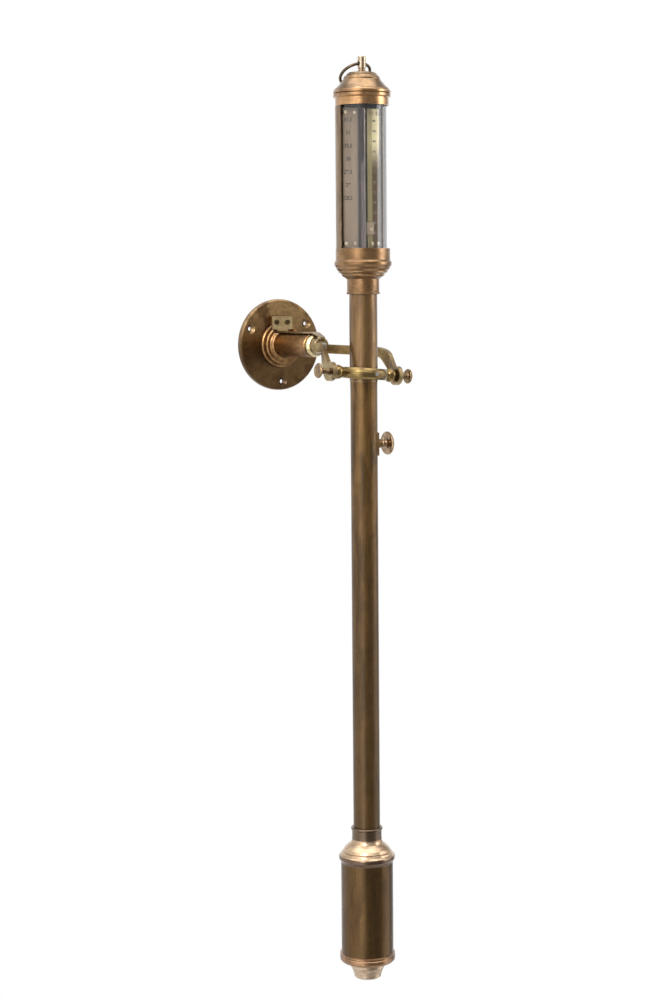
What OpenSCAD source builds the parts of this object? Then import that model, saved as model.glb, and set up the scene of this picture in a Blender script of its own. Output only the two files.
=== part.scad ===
// Marine stick barometer hung in a gimbal from a wall bracket.
// Origin at the centre of the wall plate's back face. +Z is up and -Y points out of the wall.
// A distance called "out" below is measured from the wall along -Y.

/* [Wall bracket] */
// Radius of the round wall plate
plate_r = 48.5; // [46:0.5:52]
// Thickness of the wall plate
plate_t = 5.5; // [5:0.5:8]
// Radius of the circle that the three wall screws lie on
wall_hole_ring_r = 39.5; // [37:0.5:41]
// Radius of each wall screw hole
wall_hole_r = 2.2; // [2:0.1:3]
// How far the wall screws are turned round the plate, anticlockwise from the front
hole_turn = 4; // [0:1:10]
// Distance from the wall to the barometer's axis
standoff = 176; // [174:1:182]
// Distance from the wall to the mouth of the arm socket
socket_end = 76; // [74:1:78]
// Radius of the spindle that plugs into the socket
spindle_r = 8; // [6:0.5:8.5]

/* [Gimbal] */
// How far the fork has turned in the socket, clockwise from the front
fork_roll = 4.6; // [0:0.2:6]
// How far the gimbal's pivots lie below the arm
gimbal_drop = 26.3; // [25.3:0.5:27.3]
// Outer radius of the gimbal ring
ring_r = 25; // [24.5:0.5:26]
// Inner radius of the gimbal ring
ring_bore_r = 19.5; // [19:0.5:20]
// Height of the gimbal ring
ring_h = 11; // [10:0.5:12]
// Distance from the axis to the inner face of each fork ear
ear_gap = 36.8; // [36.6:0.2:38.6]
// Thickness of each fork ear
ear_t = 4.5; // [4:0.5:5]
// Radius of a thumbscrew's head
thumb_r = 7.25; // [6:0.25:8]

/* [Tube and head] */
// Outer radius of the long brass tube
tube_r = 13.6; // [13.4:0.1:13.7]
// Outer radius of the glazed head
head_r = 26.6; // [26.4:0.1:26.8]
// Height of the lower edge of the window
window_low = 97.5; // [95:0.5:99]
// Height of the upper edge of the window
window_high = 237; // [236:0.5:240]

/* [Vernier drive] */
// Height of the vernier's lower edge when it is wound right down
vernier_low = 111.5; // [109:0.5:113]
// Height of the vernier knob's shaft, as a drop below the arm
knob_drop = 97.2; // [94:0.2:100]
// Radius of the vernier knob
knob_r = 11.5; // [9:0.5:13]
// Module of the rack and pinion teeth
tooth_module = 0.6; // [0.6:0.1:0.6]
// Number of pinion teeth
pinion_teeth = 10; // [10:1:10]
// Number of rack teeth
rack_teeth = 60; // [58:1:62]

/* [Cistern] */
// Outer radius of the cistern case
cistern_r = 26.6; // [26:0.2:27]
// How far the top of the cistern case lies below the arm
cistern_top_drop = 525; // [515:1:530]
// Length of the cistern case
cistern_len = 96.3; // [96:0.1:98]

/* [Hidden] */
$fn = 96;

// Running clearance of every pivot, on the radius
run = 0.05;
// Colours of the pieces
aged_brass = [0.53, 0.42, 0.27];
dark_brass = [0.42, 0.32, 0.20];
bright_brass = [0.72, 0.62, 0.42];
silvered = [0.80, 0.79, 0.74];
steel = [0.55, 0.53, 0.50];
quicksilver = [0.75, 0.75, 0.78];
clear_glass = [0.80, 0.88, 0.90, 0.35];
boxwood = [0.72, 0.56, 0.34];
cork = [0.66, 0.48, 0.32];
hide = [0.55, 0.40, 0.26];

// Socket casting: radius and reach of each step of its round foot
foot_steps = [[24, 4], [20.5, 7.5], [15.5, 11]];
sleeve_r = 12.3;
socket_floor = plate_t + 5;
spigot_r = 9;
spigot_depth = 2.5;
socket_screw_ring_r = 17;
socket_screw_r = 1.8;
socket_screw_head_r = 3.4;

// Spring catch over the socket
lug_half_w = 12.7;
lug_top = 30.3;
lug_out = plate_t + 3;
catch_t = 2.2;
catch_half_w = 12.4;
catch_screw_x = 6.6;
catch_screw_z = 24;
leaf_half_w = 6.5;
leaf_z = 12.7;
leaf_t = 1.3;
leaf_start = lug_out + catch_t + 0.3;
leaf_tip_half_w = 2.2;

// Spindle and fork
collar_start = socket_end;
boss_start = collar_start + 8;
boss_end = boss_start + 8;
boss_r = 8.8;
boss_top = 7.4;
boss_low = -8.7;
spigot_pin_r = 3.2;
spigot_pin_end = boss_end - 3;
fork_pin_r = 1.2;
fork_pin_out = boss_start + 2.6;
band_top = 1.9;
band_low = -7.5;
ear_r = 9.7;
arm_bend = 52;
arm_bend_r = 16;
arm_bend_out = standoff - 28.5;
arm_drop_len = 22;
hook_start = boss_end + 0.4;

// Gimbal pivots
pivot_ball_r = 7.2;
pivot_ball_cut = 44;
pivot_boss_end = ear_gap - 0.5;
pivot_tip_r = 2.5;
pivot_tip_start = 27;
thumb_thread_r = 3;
thumb_head_start = 51.8;
thumb_head_end = 54.2;
inner_pin_r = 2;
sleeve_wall = 0.4;
sleeve_outer_r = tube_r + sleeve_wall;
trunnion_r = 17.2;
trunnion_h = 9;

// Long tube
tube_bore_r = 12.4;
tube_top = 68;
tube_low = -505;
sleeve_low = -34.5;
sleeve_top = 52.4;

// Head
glass_r = 24;
glass_bore_r = 22.4;
shell_bore_r = 24.3;
shell_spigot_r = 25.6;
spigot_len = 9.5;
left_plate_inner_x = 4.2;
right_plate_inner_x = 6.5;
plate_outer_x = 21.3;
plate_front_y = 1;
plate_back_y = 2;
rail_back_y = 9;
rail_low_z = 92;
rail_high_z = 224;
rail_low_h = 14;
rail_high_h = 10;
window_half_angle = 86;
plate_screw_xs = [-19, -9, 11.5, 19];
plate_screw_zs = [102.6, 230.5];
plate_low_z = 98;
plate_high_z = 235;

// Hanging post and ring
post_base = 270;
post_top = 285.3;
eye_z = 278.2;
eye_r = 2.3;
hanger_r = 15.5;
hanger_wire_r = 1.5;
hanger_lean = 53;

// Glass tube and quicksilver. The two levels lie 760 mm apart
mercury_tube_r = 3.5;
mercury_bore_r = 2.3;
mercury_tube_low = -590;
mercury_tube_top = 240;
pool_level = -577;
column_top = pool_level + 760;

// Rack and pinion
pitch_r = tooth_module * pinion_teeth / 2;
tooth_pitch = PI * tooth_module;
addendum = 0.75 * tooth_module;
dedendum = 1.15 * tooth_module;
backlash = 0.16;
pinion_in_x = 6.6;
pinion_w = 2.9;
pinion_shaft_r = 1.5;
rod_x = 6.5;
rod_w = 3;
rod_back_y = 5.4;
rod_low = -knob_drop - 118;
rod_top = vernier_low + 11.5;
rack_top_z = -knob_drop + 3 * tooth_pitch;
saddle_r = 15.2;
saddle_half_y = 8;
saddle_half_z = 11.5;
bush_r = 4.5;
bush_end = 19.5;
knob_start = 19.8;
knob_end = 29.4;

// Cistern
case_top = -cistern_top_drop;
case_low = case_top - cistern_len;
case_bore_r = 25;
base_low = case_low - 9.3;
cup_top = -535;
cup_low = -596;
cup_r = 23.5;
cup_bore_r = 19;
cup_lid_t = 6;
pad_low = -613.8;
pad_h = 4;
pad_r = 16;
screw_r = 4;
journal_r = 5;
adjust_low = base_low - 15.7;

// Turns the fork and the gimbal in the bracket's socket
module rolled() {
    rotate([0, fork_roll, 0])
        children();
}

// Hangs the barometer upright from the middle of the turned gimbal
module hung() {
    translate([
        -gimbal_drop * sin(fork_roll), 0, gimbal_drop * (1 - cos(fork_roll))
    ])
        children();
}

// A solid turned about the barometer's axis. Points are radius and height
module turned(points) {
    translate([0, -standoff, 0])
        rotate_extrude()
            polygon(points);
}

// A solid turned about the arm. Points are radius and distance out of the wall
module turned_out(points) {
    rotate([90, 0, 0])
        rotate_extrude()
            polygon(points);
}

// A solid turned about a line along X through the given place. Points are radius and X
module turned_across(z, points) {
    translate([0, -standoff, z])
        rotate([0, 90, 0])
            rotate_extrude()
                polygon(points);
}

// A plain tube on the barometer's axis
module ring_tube(outer_r, inner_r, low, high) {
    turned([[inner_r, low], [outer_r, low], [outer_r, high], [inner_r, high]]);
}

// A rod on the line out of the wall through x and z
module rod_out(r, from, to, x = 0, z = 0) {
    translate([x, -from, z])
        rotate([90, 0, 0])
            cylinder(r = r, h = to - from);
}

// A rod along X at the barometer's axis
module rod_across(r, from, to, z) {
    translate([from, -standoff, z])
        rotate([0, 90, 0])
            cylinder(r = r, h = to - from);
}

// A block given by its lowest and highest corners, measured from the barometer's axis
module block(low, high) {
    translate([low[0], low[1] - standoff, low[2]])
        cube(high - low);
}

// Puts a copy of its children on both sides of the middle plane
module both_sides() {
    children();
    mirror([1, 0, 0])
        children();
}

// Round wall plate with three countersunk screw holes
module wall_plate() {
    countersink_r = 5;
    color(aged_brass)
        difference() {
            turned_out([
                [0, 0], [plate_r, 0], [plate_r, plate_t - 1.8], [plate_r - 0.5, plate_t - 0.7],
                [plate_r - 1.6, plate_t], [0, plate_t]
            ]);
            for (angle = [30, 150, 270])
                rotate([0, -angle - hole_turn, 0])
                    translate([wall_hole_ring_r, 0, 0])
                        rotate([90, 0, 0]) {
                            translate([0, 0, -1])
                                cylinder(r = wall_hole_r, h = plate_t + 2);
                            translate([0, 0, plate_t - 2.4])
                                cylinder(r1 = wall_hole_r, r2 = countersink_r + 0.1, h = 2.45);
                        }
            rod_out(spigot_r, plate_t - spigot_depth, plate_t + 1);
            socket_screw_places()
                socket_screw(0);
        }
}

// The three places of the screws that hold the socket from behind
module socket_screw_places() {
    for (angle = [30, 150, 270])
        translate([socket_screw_ring_r * cos(angle), 0, socket_screw_ring_r * sin(angle)])
            children();
}

// One flush screw, entered from the back face
module socket_screw(slot) {
    difference() {
        union() {
            rod_out(socket_screw_head_r, 0, 1.6);
            rod_out(socket_screw_r, 0, plate_t + 5.5);
        }
        if (slot > 0)
            translate([-socket_screw_head_r, -0.7, -slot / 2])
                cube([2 * socket_screw_head_r, 1.4, slot]);
    }
}

module socket_screws() {
    color(steel)
        socket_screw_places()
            socket_screw(0.8);
}

// Turned socket with a stepped foot, a lug for the catch and a blind bore for the spindle
module arm_socket() {
    color(aged_brass)
        difference() {
            union() {
                turned_out([
                    [0, plate_t - spigot_depth], [spigot_r, plate_t - spigot_depth],
                    [spigot_r, plate_t], [foot_steps[0][0], plate_t],
                    [foot_steps[0][0], plate_t + foot_steps[0][1] - 1],
                    [foot_steps[0][0] - 1, plate_t + foot_steps[0][1]],
                    [foot_steps[1][0], plate_t + foot_steps[0][1]],
                    [foot_steps[1][0], plate_t + foot_steps[1][1] - 1],
                    [foot_steps[1][0] - 1, plate_t + foot_steps[1][1]],
                    [foot_steps[2][0] + 1.2, plate_t + foot_steps[1][1]],
                    [foot_steps[2][0], plate_t + foot_steps[1][1] + 1],
                    [foot_steps[2][0], plate_t + foot_steps[2][1] - 1],
                    [foot_steps[2][0] - 1, plate_t + foot_steps[2][1]],
                    [sleeve_r, plate_t + foot_steps[2][1]],
                    [sleeve_r, socket_end - 0.8], [sleeve_r - 0.8, socket_end], [0, socket_end]
                ]);
                translate([-lug_half_w, -lug_out, 12])
                    cube([2 * lug_half_w, lug_out - plate_t, lug_top - 12]);
            }
            translate([-lug_half_w, -lug_out - 30, sleeve_r + 0.05])
                cube([2 * lug_half_w, 30, 20]);
            rod_out(spindle_r, socket_floor, socket_end + 1);
            for (x = [-catch_screw_x, catch_screw_x])
                rod_out(1.5, plate_t + 1, lug_out + 1, x, catch_screw_z);
            socket_screw_places()
                rod_out(socket_screw_r, plate_t - 1, plate_t + 5.5);
        }
}

// Upright leg of the spring catch, narrower at its foot
module catch_plate() {
    color(bright_brass)
        difference() {
            union() {
                translate([-catch_half_w, -lug_out - catch_t, leaf_z + leaf_t + 2.4])
                    cube([2 * catch_half_w, catch_t, lug_top - leaf_z - leaf_t - 2.4]);
                translate([-leaf_half_w, -lug_out - catch_t, leaf_z + leaf_t + 0.4])
                    cube([2 * leaf_half_w, catch_t, 3]);
            }
            for (x = [-catch_screw_x, catch_screw_x])
                rod_out(1.5, lug_out - 1, lug_out + catch_t + 1, x, catch_screw_z);
        }
}

// Spring leaf that runs over the socket and dips in front of the fork's root
module catch_leaf() {
    top = leaf_z + leaf_t;
    pivot_out = leaf_start + leaf_t / 2;
    dip_out = collar_start + 3;
    color(aged_brass)
        union() {
            intersection() {
                rotate([90, 0, -90])
                    linear_extrude(height = 2 * leaf_half_w, center = true)
                        polygon([
                            [pivot_out, leaf_z], [dip_out, leaf_z], [hook_start, boss_top + 1.2],
                            [hook_start, boss_top - 1.6], [hook_start + 0.6, boss_top - 2],
                            [hook_start + 1.5, boss_top], [hook_start + 1.3, boss_top + 1.9],
                            [dip_out + 0.4, top], [pivot_out, top]
                        ]);
                mirror([0, 1, 0])
                    linear_extrude(height = top + 1)
                        polygon([
                            [-leaf_half_w, 0], [-leaf_half_w, boss_start - 20],
                            [-leaf_tip_half_w - 1.2, boss_end - 4], [-leaf_tip_half_w, boss_end + 9],
                            [leaf_tip_half_w, boss_end + 9], [leaf_tip_half_w + 1.2, boss_end - 4],
                            [leaf_half_w, boss_start - 20], [leaf_half_w, 0]
                        ]);
            }
            translate([0, -pivot_out, leaf_z + leaf_t / 2])
                rotate([0, 90, 0])
                    cylinder(r = leaf_t / 2, h = 2 * leaf_half_w, center = true);
        }
}

module catch_screws() {
    head_h = 1.2;
    color(dark_brass)
        for (x = [-catch_screw_x, catch_screw_x])
            difference() {
                union() {
                    rod_out(1.5, plate_t + 1.5, lug_out + catch_t, x, catch_screw_z);
                    rod_out(2.5, lug_out + catch_t, lug_out + catch_t + head_h, x, catch_screw_z);
                }
                translate([x - 3, -lug_out - catch_t - head_h - 1, catch_screw_z - 0.35])
                    cube([6, 1.6, 0.7]);
            }
}

// Spindle: a plain plug, a rounded collar against the socket and a spigot for the fork
module arm_spindle() {
    color(bright_brass)
        rolled()
            difference() {
                turned_out([
                    [0, socket_floor + 1], [spindle_r - 1, socket_floor + 1],
                    [spindle_r, socket_floor + 2], [spindle_r, collar_start],
                    [10.4, collar_start], [11.3, collar_start + 1.4], [11.6, collar_start + 3],
                    [11.2, collar_start + 4.8], [9.6, collar_start + 6.4],
                    [7.8, collar_start + 7], [7.8, boss_start], [spigot_pin_r, boss_start],
                    [spigot_pin_r, spigot_pin_end], [0, spigot_pin_end]
                ]);
                translate([0, -fork_pin_out, 0])
                    cylinder(r = fork_pin_r, h = 4 * boss_r, center = true);
            }
}

// The plan of one arm of the fork, as X and distance out of the wall
function fork_arm_plan() = [
    [ear_gap, standoff + 12], [ear_gap + ear_t, standoff + 12], [ear_gap + ear_t, standoff - 14],
    [boss_r - 0.5, boss_end - 3], [boss_r - 3.8, boss_end - 3], [boss_r - 3.8, boss_end + 3],
    [ear_gap, standoff - 12]
];

// Points round the bend of the arms, at a distance from its centre
function bend_arc(r, from, to) = [
    for (i = [0:8])
        let (a = from + (to - from) * i / 8)
            [arm_bend_out + r * cos(a), (band_top + band_low) / 2 - arm_bend_r + r * sin(a)]
];

// The side view of the fork's arms, as distance out of the wall and height
module fork_side_view() {
    back = boss_end - 6;
    half_h = (band_top - band_low) / 2;
    down = [arm_drop_len * cos(arm_bend), -arm_drop_len * sin(arm_bend)];
    outer = bend_arc(arm_bend_r + half_h, 90, 90 - arm_bend);
    inner = bend_arc(arm_bend_r - half_h, 90 - arm_bend, 90);
    polygon(concat(
        [[back, band_top]], outer, [outer[8] + down, inner[0] + down], inner, [[back, band_low]]
    ));
    translate([standoff, -gimbal_drop])
        circle(r = ear_r);
}

// Cast fork: a flat-topped round root and two arms that drop to the pivot ears
module gimbal_fork() {
    color(aged_brass)
        rolled()
            difference() {
                union() {
                    intersection() {
                        turned_out([
                            [0, boss_start], [boss_r - 0.8, boss_start], [boss_r, boss_start + 0.8],
                            [boss_r, boss_end - 0.8], [boss_r - 0.8, boss_end], [0, boss_end]
                        ]);
                        translate([-boss_r, -boss_end, boss_low])
                            cube([2 * boss_r, boss_end - boss_start, boss_top - boss_low]);
                    }
                    intersection() {
                        both_sides()
                            translate([0, 0, -50])
                                mirror([0, 1, 0])
                                    linear_extrude(height = 70)
                                        polygon(fork_arm_plan());
                        rotate([90, 0, -90])
                            linear_extrude(height = 100, center = true)
                                fork_side_view();
                    }
                }
                rod_out(spigot_pin_r, boss_start - 1, spigot_pin_end);
                rod_across(thumb_thread_r + run, -50, 50, -gimbal_drop);
                translate([0, -fork_pin_out, 0])
                    cylinder(r = fork_pin_r, h = 4 * boss_r, center = true);
            }
}

module fork_pin() {
    color(steel)
        rolled()
            translate([0, -fork_pin_out, boss_low + 0.2])
                cylinder(r = fork_pin_r, h = boss_top - boss_low - 0.4);
}

// Thumbscrew with a dished head, a threaded neck and a plain pivot tip
module thumbscrew() {
    turned_across(-gimbal_drop, [
        [0, pivot_tip_start], [pivot_tip_r - 0.5, pivot_tip_start],
        [pivot_tip_r, pivot_tip_start + 0.5], [pivot_tip_r, ear_gap - 0.4],
        [thumb_thread_r, ear_gap], [thumb_thread_r, thumb_head_start - 1.5],
        [thumb_thread_r + 1, thumb_head_start], [thumb_r - 0.5, thumb_head_start],
        [thumb_r, thumb_head_start + 0.5], [thumb_r, thumb_head_end - 0.6],
        [thumb_r - 0.6, thumb_head_end], [thumb_r - 2.2, thumb_head_end],
        [thumb_r - 2.8, thumb_head_end - 0.5], [0, thumb_head_end - 0.5]
    ]);
}

module thumbscrew_right() {
    color(bright_brass)
        rolled()
            thumbscrew();
}

module thumbscrew_left() {
    color(bright_brass)
        rolled()
            mirror([1, 0, 0])
                thumbscrew();
}

// Gimbal ring with a crowned band and a bored ball on each side
module gimbal_ring() {
    half = ring_h / 2;
    crown = 2.4;
    neck_r = pivot_ball_r * cos(pivot_ball_cut);
    ball_x = pivot_boss_end - pivot_ball_r * sin(pivot_ball_cut);
    color(aged_brass)
        rolled()
            difference() {
                union() {
                    turned(concat(
                        [for (i = [-1, -0.62, -0.2, 0.2, 0.62, 1])
                        [ring_r - crown * i * i, -gimbal_drop + half * i]],
                        [[ring_bore_r, -gimbal_drop + half], [ring_bore_r, -gimbal_drop - half]]
                    ));
                    both_sides()
                        difference() {
                            turned_across(-gimbal_drop, concat(
                                [[0, 21], [neck_r, 21]],
                                [for (i = [-4:4])
                                    let (a = pivot_ball_cut * i / 4)
                                        [pivot_ball_r * cos(a), ball_x + pivot_ball_r * sin(a)]],
                                [[0, pivot_boss_end]]
                            ));
                            ring_tube(ring_bore_r + 2, 0, -gimbal_drop - 9, -gimbal_drop + 9);
                        }
                }
                both_sides()
                    rod_across(pivot_tip_r + run, pivot_tip_start - 0.5, 50, -gimbal_drop);
                rod_out(inner_pin_r, standoff - 40, standoff + 40, 0, -gimbal_drop);
            }
}

// The two pins that the barometer swings on, pressed into the ring
module gimbal_pins() {
    color(steel)
        rolled()
            for (side = [-1, 1])
                translate([0, -standoff + side * (ring_r + sleeve_outer_r + 0.1) / 2, -gimbal_drop])
                    rotate([90, 0, 0])
                        cylinder(r = inner_pin_r, h = ring_r - sleeve_outer_r - 0.3, center = true);
}

// Collar on the tube that the gimbal pins run in
module trunnion_collar() {
    half = trunnion_h / 2;
    color(aged_brass)
        hung()
            difference() {
                turned([
                    [sleeve_outer_r, -gimbal_drop - half], [trunnion_r - 0.8, -gimbal_drop - half],
                    [trunnion_r, -gimbal_drop - half + 0.8], [trunnion_r, -gimbal_drop + half - 0.8],
                    [trunnion_r - 0.8, -gimbal_drop + half], [sleeve_outer_r, -gimbal_drop + half]
                ]);
                rod_out(inner_pin_r + run, standoff - 40, standoff + 40, 0, -gimbal_drop);
            }
}

// Thin sleeve that stiffens the tube from the head down to the gimbal
module gimbal_sleeve() {
    color(aged_brass)
        hung()
            ring_tube(sleeve_outer_r, tube_r, sleeve_low, sleeve_top);
}

// Long brass tube, with a hole for the pinion's bush
module main_tube() {
    color(aged_brass)
        hung()
            difference() {
                ring_tube(tube_r, tube_bore_r, tube_low, tube_top);
                rod_across(bush_r, 5, 20, -knob_drop);
            }
}

// Turned lower end of the head, with its floor
module head_base() {
    color(aged_brass)
        hung()
            difference() {
                turned([
                    [tube_r, 52.4], [16.1, 52.4], [16.7, 53], [16.7, 54.4], [16.1, 55.2],
                    [16.1, 67.4], [17.2, 68.2], [20.5, 70.2], [21.4, 71.4], [21.4, 72.4],
                    [24.4, 74], [24.4, 75.2], [26.4, 77.4], [27.2, 79.4], [28.5, 81.4], [28.5, 84.2],
                    [27.6, 85.3], [27.1, 86], [27.1, window_low], [shell_spigot_r, window_low],
                    [shell_spigot_r, window_low - spigot_len], [glass_r + 0.3, window_low - spigot_len],
                    [glass_r + 0.3, 84], [0, 84], [0, tube_top], [tube_r, tube_top]
                ]);
                ring_tube(mercury_tube_r + 0.3, 0, 60, 90);
                block([rod_x - 0.4, 2.6, 60], [rod_x + rod_w + 0.4, rod_back_y + 0.4, 90]);
            }
}

// Brass shell of the head, open over its front half
module head_shell() {
    color(dark_brass)
        hung()
            difference() {
                turned([
                    [shell_bore_r, window_low - spigot_len], [shell_spigot_r, window_low - spigot_len],
                    [shell_spigot_r, window_low], [head_r, window_low], [head_r, window_high],
                    [shell_spigot_r, window_high], [shell_spigot_r, window_high + spigot_len],
                    [shell_bore_r, window_high + spigot_len]
                ]);
                translate([0, -standoff, window_low])
                    linear_extrude(height = window_high - window_low)
                        polygon([
                            [0, 0], [60 * sin(window_half_angle), -60 * cos(window_half_angle)],
                            [60, -60], [-60, -60],
                            [-60 * sin(window_half_angle), -60 * cos(window_half_angle)]
                        ]);
            }
}

module glass_cylinder() {
    color(clear_glass)
        hung()
            ring_tube(glass_r, glass_bore_r, 84.2, window_high + spigot_len - 0.4);
}

// Skirt and rim that close the top of the shell
module cap_ring() {
    color(aged_brass)
        hung()
            turned([
                [shell_spigot_r, window_high], [head_r, window_high], [head_r, 244.4],
                [28.1, 245.1], [28.5, 246], [28.5, 248.2], [27.6, 248.8], [28.5, 249.4],
                [28.5, 251.4], [27.6, 252.3], [20, 252.3], [20, 249.6],
                [24, window_high + spigot_len + 0.3], [shell_spigot_r, window_high + spigot_len + 0.3]
            ]);
}

// Domed top of the cap
module cap_dome() {
    color(aged_brass)
        hung()
            difference() {
                turned([
                    [0, 249.8], [19.9, 249.8], [19.9, 252.3], [27.4, 252.4], [27.2, 253.2],
                    [23.6, 256.6], [19.6, 261.2], [18.9, 262.3], [18.1, 262.7], [18.3, 263.6],
                    [17.4, 265.4], [15.8, 266.8], [15, 267], [15.2, 267.8], [13.6, 269.2],
                    [9, post_base], [0, post_base]
                ]);
                ring_tube(2.5, 0, 252, 275);
                turned([[0, 249], [16, 249], [16, 253], [11, 260], [0, 260]]);
            }
}

// Post with the eye for the hanging ring
module hanging_post() {
    color(bright_brass)
        hung()
            difference() {
                turned([
                    [0, 258], [2.5, 258], [2.5, post_base], [4.4, post_base], [4.6, 271], [3.2, 272],
                    [3.4, 273], [4.1, 273.8], [4.1, post_top - 0.9], [3.4, post_top],
                    [0, post_top]
                ]);
                rod_across(eye_r, -10, 10, eye_z);
            }
}

// Loose ring that leans back on the cap
module hanging_ring() {
    color(dark_brass)
        hung()
            translate([0, -standoff, eye_z])
                rotate([hanger_lean, 0, 0])
                    translate([0, 0, -hanger_r])
                        rotate([90, 0, 0])
                            rotate_extrude()
                                translate([hanger_r, 0])
                                    circle(r = hanger_wire_r, $fn = 32);
}

// One scale plate, with its screw holes
module scale_plate(low_x, high_x) {
    color(silvered)
        hung()
            difference() {
                block([low_x, plate_front_y, plate_low_z], [high_x, plate_back_y, plate_high_z]);
                plate_screw_places()
                    cylinder(r = 0.9, h = 20, center = true);
            }
}

// The places of the scale plates' screws, with the screw's axis along Z
module plate_screw_places() {
    for (x = plate_screw_xs, z = plate_screw_zs)
        translate([x, -standoff, z])
            rotate([90, 0, 0])
                children();
}

module scale_plate_left() {
    scale_plate(-plate_outer_x, -left_plate_inner_x);
}

module scale_plate_right() {
    scale_plate(right_plate_inner_x, plate_outer_x);
}

// Bar behind the scale plates, notched for the glass tube and the rack
module rail(low_z, height) {
    difference() {
        intersection() {
            ring_tube(glass_bore_r - 0.2, 0, low_z, low_z + height);
            block([-30, plate_back_y, low_z], [30, rail_back_y, low_z + height]);
        }
        ring_tube(mercury_tube_r + 0.3, 0, low_z - 1, low_z + height + 1);
        block([rod_x - 0.4, 0, low_z - 1], [rod_x + rod_w + 0.4, rod_back_y + 0.4, low_z + 20]);
        plate_screw_places()
            cylinder(r = 0.9, h = 12, center = true);
    }
}

module rail_lower() {
    color(aged_brass)
        hung()
            union() {
                rail(rail_low_z, rail_low_h);
                block([-14, plate_back_y + 1, 84], [-9, rail_back_y, rail_low_z]);
                block([12, plate_back_y + 1, 84], [16, rail_back_y, rail_low_z]);
            }
}

module rail_upper() {
    color(aged_brass)
        hung()
            rail(rail_high_z, rail_high_h);
}

// Round-headed screws of the scale plates
module plate_screws() {
    color(bright_brass)
        hung()
            plate_screw_places()
                translate([0, 0, -5.5]) {
                    cylinder(r = 0.9, h = 4.5);
                    translate([0, 0, 4.5])
                        cylinder(r = 1.8, h = 1);
                }
}

// Glass barometer tube, sealed at the top
module mercury_tube() {
    color(clear_glass)
        hung()
            turned([
                [mercury_bore_r, mercury_tube_low], [mercury_tube_r, mercury_tube_low],
                [mercury_tube_r, mercury_tube_top - 2], [2.6, mercury_tube_top - 0.6],
                [0, mercury_tube_top], [0, mercury_tube_top - 2.5], [mercury_bore_r, 235]
            ]);
}

module mercury_column() {
    color(quicksilver)
        hung()
            turned([
                [0, mercury_tube_low], [mercury_bore_r, mercury_tube_low],
                [mercury_bore_r, column_top - 0.8], [1.4, column_top - 0.1], [0, column_top]
            ]);
}

// Cork rings that hold the glass tube in the brass one
module tube_packings() {
    color(cork)
        hung()
            difference() {
                for (z = [34, -52, -240, -350, -460])
                    ring_tube(tube_bore_r, mercury_tube_r, z, z + 12);
                block([rod_x - 0.4, 2, -230], [rod_x + rod_w + 0.4, rod_back_y + 0.5, 60]);
            }
}

// Vernier plate on a post that reaches back to the rack
module vernier_plate() {
    high = vernier_low + 12;
    color(silvered)
        hung()
            difference() {
                union() {
                    block([3.9, -1.2, vernier_low], [12.6, -0.2, high]);
                    block([4.1, -0.2, vernier_low + 1], [5.7, rod_back_y, high - 1]);
                    block([5.7, 3, vernier_low + 1], [rod_x, rod_back_y, high - 1]);
                }
                translate([9, -standoff, vernier_low + 5])
                    rotate([90, 0, 0])
                        cylinder(r = 0.8, h = 8, center = true);
            }
}

module vernier_screw() {
    color(bright_brass)
        hung()
            translate([9, -standoff + 0.1, vernier_low + 5])
                rotate([90, 0, 0]) {
                    cylinder(r = 0.8, h = 1.3);
                    translate([0, 0, 1.3])
                        cylinder(r = 1.7, h = 0.8);
                }
}

// Half thickness of a tooth at a height above the pitch line
function tooth_half(height) = (tooth_pitch / 2 - backlash) / 2 - height * tan(20);

// Rod with a toothed lower end. The teeth face the pinion, towards -Y
module rack_rod() {
    tip_y = pitch_r - addendum;
    root_y = pitch_r + dedendum;
    teeth = [
        for (i = [0:rack_teeth - 1])
            let (z = rack_top_z - i * tooth_pitch)
                each [
                    [root_y, z + tooth_half(-dedendum)], [tip_y, z + tooth_half(addendum)],
                    [tip_y, z - tooth_half(addendum)], [root_y, z - tooth_half(-dedendum)]
                ]
    ];
    color(bright_brass)
        hung()
            translate([rod_x, -standoff, 0])
                rotate([90, 0, 90])
                    linear_extrude(height = rod_w)
                        polygon(concat(
                            [[rod_back_y, rod_top], [root_y, rod_top]], teeth,
                            [[root_y, rod_low], [rod_back_y, rod_low]]
                        ));
}

// Pinion cut on the end of the knob's shaft
module pinion_shaft() {
    gear = [
        for (i = [0:pinion_teeth - 1])
            let (a = i * 360 / pinion_teeth)
                for (corner = [
                    [-1, -dedendum], [-1, 0], [-1, addendum], [1, addendum], [1, 0], [1, -dedendum]
                ])
                    let (
                        r = pitch_r + corner[1],
                        half = corner[1] > 0 ? 0.18 : (corner[1] < 0 ? 0.5 : tooth_half(0)),
                        b = a + corner[0] * half / r * 180 / PI
                    )
                        [r * cos(b), r * sin(b)]
    ];
    color(steel)
        hung()
            union() {
                translate([pinion_in_x, -standoff, -knob_drop])
                    rotate([90, 0, 90])
                        linear_extrude(height = pinion_w)
                            // A tooth space faces each rack tooth at rest
                            rotate(180 / pinion_teeth)
                                polygon(gear);
                rod_across(pinion_shaft_r, pinion_in_x + pinion_w, 27, -knob_drop);
            }
}

// Saddle on the tube with the bush that the shaft turns in
module pinion_saddle() {
    screw_z = 8.2;
    color(aged_brass)
        hung()
            difference() {
                union() {
                    intersection() {
                        ring_tube(saddle_r, tube_r, -knob_drop - 20, -knob_drop + 20);
                        block(
                            [0, -saddle_half_y, -knob_drop - saddle_half_z],
                            [20, saddle_half_y, -knob_drop + saddle_half_z]
                        );
                    }
                    rod_across(bush_r, 11.4, bush_end, -knob_drop);
                }
                rod_across(pinion_shaft_r + run, 0, 30, -knob_drop);
                for (side = [-1, 1])
                    rod_across(0.9, 10, 20, -knob_drop + side * screw_z);
            }
}

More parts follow.
